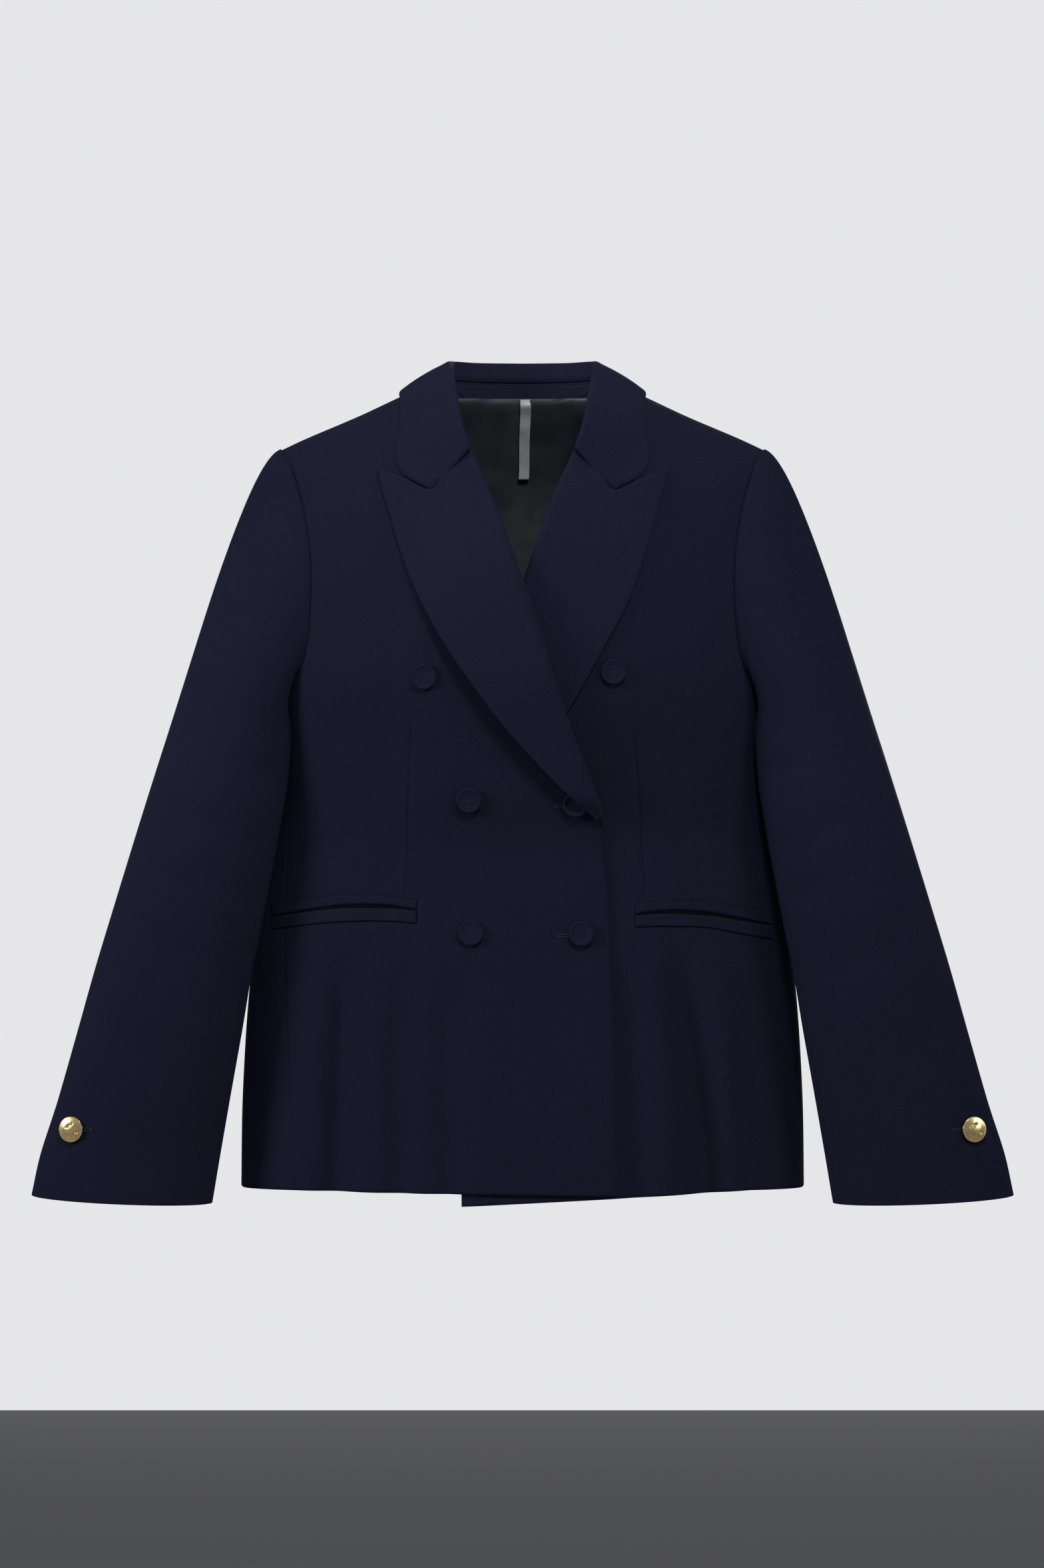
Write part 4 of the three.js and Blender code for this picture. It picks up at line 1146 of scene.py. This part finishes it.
coveredSet = {
    "profile": [(0.3, 0), (2.6, 0), (2.8, 1), (8.8, 1.2), (10.0, 2.0), (10.1, 3.0), (9.5, 3.9), (8.7, 4.1),
                (7.9, 3.8), (6.8, 3.35), (4.0, 3.0), (0.3, 2.9)],
    "places": [
        ("top_layer_upper_button", -77, -228, -0.5),
        ("under_layer_upper_button", 72, -224, 0.35),
        ("middle_outer_button", -42.3, -325, 0.35),
        ("middle_inner_button", 41.6, -328.5, 0.35),
        ("lower_outer_button", -41.2, -433, 0.35),
        ("lower_inner_button", 46.6, -433.5, 0.35),
    ],
    # two short bars of thread in the dip
    "barLift": 3.0,
    "barHalf": 0.7,
    "barApart": 1.05,
    "barRadius": 0.4,
}


def coveredButton(name, x, z, off):
    layer = 0 if name.startswith("under") else float(lap(np.array(x), np.array(z)))
    low, high = (bodyPoint(-1, x, z, layer + body["wall"] + off + k, False) for k in (0.0, 1.0))
    normal = high - low

    def puckers(r, angle):
        # the cloth is gathered over the rim in small pleats
        return 0.03 * soft(7.5, 10.1, r) * np.sin(angle * 17)

    piece = turned(name + "_covered", roundedProfile(coveredSet["profile"]), low, normal, 96, puckers)
    rideAs(piece, name, woolFacing)
    s = coveredSet
    side = np.cross(normal, [0, 0, 1.0])
    side /= np.linalg.norm(side)
    up = np.cross(side, normal) * s["barHalf"]
    middle = low + normal * s["barLift"]
    shifts = (-s["barApart"] * side, s["barApart"] * side)
    knots = stitchMesh(name + "_thread", [(middle + k - up, middle + k + up) for k in shifts], s["barRadius"])
    rideAs(knots, None, thread)


def stitchMesh(name, pairs, radius):
    # one mesh of short bars, each a six-sided spindle: a point along the bar plus the radius there,
    # times cosine and sine of the turn, thick in the middle and thin at its ends
    ends = np.array(pairs, float)
    first, reach = ends[:, 0], ends[:, 1] - ends[:, 0]
    axis = reach / np.linalg.norm(reach, axis=1, keepdims=True)
    side = np.cross(axis, [0.31, 0.62, 0.72])
    side /= np.linalg.norm(side, axis=1, keepdims=True)
    up = np.cross(axis, side)
    share = np.linspace(0, 1, 5)[:, None, None]
    thickness = np.array([0.35, 0.9, 1, 0.9, 0.35])[:, None, None]
    angle = (np.arange(6) * math.pi / 3)[:, None]
    ring = np.cos(angle) * side[:, None, None] + np.sin(angle) * up[:, None, None]
    points = first[:, None, None] + reach[:, None, None] * share + radius * thickness * ring
    here = np.arange(24)
    after = here + np.where(here % 6 == 5, -5, 1)
    quads = np.stack([here, after, after + 6, here + 6], -1)
    caps = np.array([range(5, -1, -1), range(24, 30)])
    start = 30 * np.arange(len(ends))[:, None, None]
    faces = (quads + start).reshape(-1, 4).tolist() + (caps + start).reshape(-1, 6).tolist()
    return addObject(name, points.reshape(-1, 3), faces)


brassSet = {
    "profile": [(0.3, 0), (2.2, 0), (2.4, 1.2), (9.0, 1.4), (10.1, 2.0), (10.2, 2.6), (9.7, 2.9), (9.0, 2.95),
                (8.0, 3.15), (6.8, 3.4), (5.6, 3.65), (4.4, 3.85), (3.2, 4.0), (2.0, 4.1),
                (1.0, 4.15), (0.3, 4.16)],
    "turn": 0.1215,
    "z": -590,
    "off": -0.2,
}


def brassButton(hand):
    s = brassSet
    e = 0.004
    z = np.full((1, 1), float(s["z"]))
    flip = np.array([hand, 1, 1])

    def at(turn, drop):
        return sleeveRing(np.full((1, 1), 2 * math.pi * turn), z + drop)[0, 0] * flip

    here = at(s["turn"], 0)
    normal = np.cross(at(s["turn"] + e, 0) - at(s["turn"] - e, 0), at(s["turn"], 1.5) - at(s["turn"], -1.5))
    normal /= np.linalg.norm(normal)
    if normal[1] > 0:
        normal = -normal

    def dents(r, angle):
        # one slanting dent above the middle and a small one nearer the rim
        x, y = r * np.cos(angle), r * np.sin(angle)
        top = soft(9.4, 7.0, r)
        x1, y1 = x - 1.0, y - 3.2
        slanted = ((x1 * 0.5 + y1 * 0.87) / 1.3) ** 2 + ((x1 * 0.87 - y1 * 0.5) / 3.0) ** 2
        small = ((x + 5.1) ** 2 + (y + 2.2) ** 2) / 1.5
        return -top * (1.7 * np.exp(-(slanted**2)) + 1.4 * np.exp(-(small**2)))

    word = sideWord[hand]
    profile = roundedProfile(s["profile"])
    piece = turned(word + "_cuff_button_brass", profile, here + normal * s["off"], normal, 144, dents)
    rideAs(piece, word + "_cuff_button", brass)


for place in coveredSet["places"]:
    coveredButton(*place)
for hand in (-1, 1):
    brassButton(hand)
print("buttons made")

# buttonholes: a close row of thread bars round a short slot, worked on the surface below it
holeSet = {
    "length": 15.0,
    "pitch": 0.75,
    "bar": 1.2,
    "radius": 0.33,
    "front": [("lower_buttonhole", 36.1, -435), ("upper_buttonhole", 34.0, -330)],
    "cuffStart": 4.2,  # from the cuff button's middle to the hole's middle
    "cuffGirth": 265,
}


def buttonhole(name, at):
    # at gives the surface point for an offset along and across the slot, and a lift
    s = holeSet
    pairs = []
    count = int(s["length"] / s["pitch"])
    for i in range(count + 1):
        x = (i / count - 0.5) * s["length"]
        for side in (-1, 1):
            pairs.append((at(x, side * 0.35, 0.15), at(x, side * (0.35 + s["bar"]), 0.2)))
    for end in (-1, 1):
        for k in range(-2, 3):
            angle = k * math.pi / 6
            x0 = end * (s["length"] / 2 + 0.3 * math.cos(angle))
            x1 = end * (s["length"] / 2 + s["bar"] * math.cos(angle))
            pairs.append((at(x0, 0.3 * math.sin(angle), 0.15), at(x1, 1.5 * math.sin(angle), 0.2)))
    piece = stitchMesh(name, pairs, s["radius"])
    return rideAs(piece, None, holeThread)


def frontPlace(x, z):
    def at(along, across, lift):
        px, pz = x + along, z + across
        layer = float(lap(np.array(px), np.array(pz)))
        return bodyPoint(-1, px, pz, layer + body["wall"] + lift)

    return at


def cuffPlace(hand):
    s = brassSet

    def at(along, across, lift):
        turn = s["turn"] + (holeSet["cuffStart"] + along) / holeSet["cuffGirth"]
        z = np.full((1, 1), s["z"] + across)
        p = sleeveRing(np.full((1, 1), 2 * math.pi * turn), z)[0, 0] * np.array([hand, 1, 1])
        return p + np.array([0, -1, 0]) * (lift + 0.5)

    return at


for name, x, z in holeSet["front"]:
    buttonhole(name, frontPlace(x, z))
for hand in (-1, 1):
    buttonhole(sideWord[hand] + "_cuff_buttonhole", cuffPlace(hand))
print("buttonholes made")

# two rows of stitching on the stand, by their shares of its height
stitchSet = {"rows": (0.37, 0.47), "pitch": 3.1, "length": 2.2, "radius": 0.24}


def standStitches():
    s = stitchSet
    pairs = []
    for height in s["rows"]:
        t = np.linspace(0.45, 1, 400)
        for hand in (-1, 1):
            line = mix(collarLine(1, hand, t), collarLine(4, hand, t), height)
            inward = -line * np.array([1, 1, 0])
            inward /= np.linalg.norm(inward, axis=1, keepdims=True)
            line = line + inward * 0.25
            along = np.concatenate([[0], np.linalg.norm(np.diff(line, axis=0), axis=1).cumsum()])
            for start in np.arange(1, along[-1] - 3, s["pitch"]):
                ends = (start, start + s["length"])
                pairs.append([[np.interp(k, along, line[:, axis]) for axis in range(3)] for k in ends])
    piece = stitchMesh("stand_stitching", pairs, s["radius"])
    rideAs(piece, None, thread)


standStitches()

# satin strip, sewn in at the neck seam and lying on the lining
labelSet = {"x": (2.4, 0.9), "width": 8.5, "top": 0.8, "bottom": -63.6, "thick": 0.6, "off": 3.4}


def labelStrip():
    s = labelSet
    v = np.linspace(0, 1, 49)[:, None]
    u = np.linspace(0, 1, 13)[None, :]
    z = mix(s["top"], s["bottom"], v) + 0 * u
    x = mix(s["x"][0], s["x"][1], v) + s["width"] * (u - 0.5) + 0.2 * np.sin(v * 9)
    behind = bodyDepth(1, np.full(z.shape, 1.5), z, False) - liningSet["gap"] - liningSet["wall"]
    behind = behind + 2.6 * soft(-24, -11, z) + 5.5 * soft(-5.5, 1, z) - s["off"]
    curl = 0.4 * np.sin(math.pi * u) * np.sin(v * 5 + 0.5)
    grid = np.stack([x, behind - curl - 1.2 * v, z], -1)
    piece = clothWall("label_strip_satin", grid, s["thick"], lambda p: (0, -1, 0))
    rideAs(piece, "label_strip", satin, grid)


labelStrip()
print("stitching and label made")

# floor, backdrop and light
studioSet = {
    "pale": "e6e6e8",
    "glow": 0.99,
    "floor": -1.4,
    "wall": 8.5,
    "half": 3.4,
    "bend": 1.6,
    "front": -5.0,
    "top": 2.4,
    "sky": ("e9ebf0", 0.15),
    # name, place, aim, size, power: a small strong light high in front makes the shadows
    "lights": [
        ("key", (0.35, -1.8, 1.4), (0, 0, -0.25), (0.5, 0.38), 20.5),
        ("left fill", (-2.5, -1.2, 0.4), (0, 0, -0.3), (0.8, 1.0), 32),
        ("right fill", (2.5, -1.6, 0.2), (0, 0, -0.3), (0.8, 1.0), 13),
        ("top", (0, 0.2, 1.8), (0, 0, -0.2), (1.6, 0.9), 8),
        ("back", (0.8, 3.2, 0.9), (0, 0, -0.3), (1.2, 1.0), 30),
    ],
}


def stageSheet(name, y, z, values):
    points = np.array([[x, yy, zz] for x in (-studioSet["half"], studioSet["half"]) for yy, zz in zip(y, z)])
    count = len(y)
    faces = [[i, i + count, i + count + 1, i + 1] for i in range(count - 1)]
    sheet = addObject(name, points * 1000, faces)
    made, tree, shader = newMaterial(name + " paper", values)
    sheet.data.materials.append(made)


def makeStage(s):
    # a sweep of paper: flat floor, a quarter circle, then a wall that is lit evenly from behind
    angle = np.linspace(0, math.pi / 2, 24)
    curve = s["wall"] - s["bend"]
    matt = {"Roughness": 0.95, "Specular IOR Level": 0.0}
    stageSheet("floor", [s["front"], curve], [s["floor"]] * 2, {**matt, "Base Color": hexLinear("9a9a9c")})
    stageSheet("backdrop", np.append(curve + s["bend"] * np.sin(angle), s["wall"]),
               np.append(s["floor"] + s["bend"] * (1 - np.cos(angle)), s["top"]),
               {**matt, "Base Color": hexLinear("3a3a3b"), "Emission Color": hexLinear(s["pale"]),
                "Emission Strength": s["glow"]})


def areaLight(name, place, aim, size, power):
    data = bpy.data.lights.new(name, "AREA")
    data.shape = "RECTANGLE"
    data.size, data.size_y = size
    data.energy = power
    light = bpy.data.objects.new(name, data)
    light.location = place
    light.rotation_euler = (Vector(aim) - Vector(place)).to_track_quat("-Z", "Y").to_euler()
    bpy.context.scene.collection.objects.link(light)


def makeLights(s):
    for light in s["lights"]:
        areaLight(*light)
    colour, strength = s["sky"]
    world = bpy.data.worlds.new("studio")
    world.use_nodes = True
    sky = world.node_tree.nodes["Background"]
    sky.inputs[0].default_value = hexLinear(colour)
    sky.inputs[1].default_value = strength
    bpy.context.scene.world = world
    bpy.context.scene.view_settings.view_transform = "Standard"


makeStage(studioSet)
makeLights(studioSet)
print("studio made")
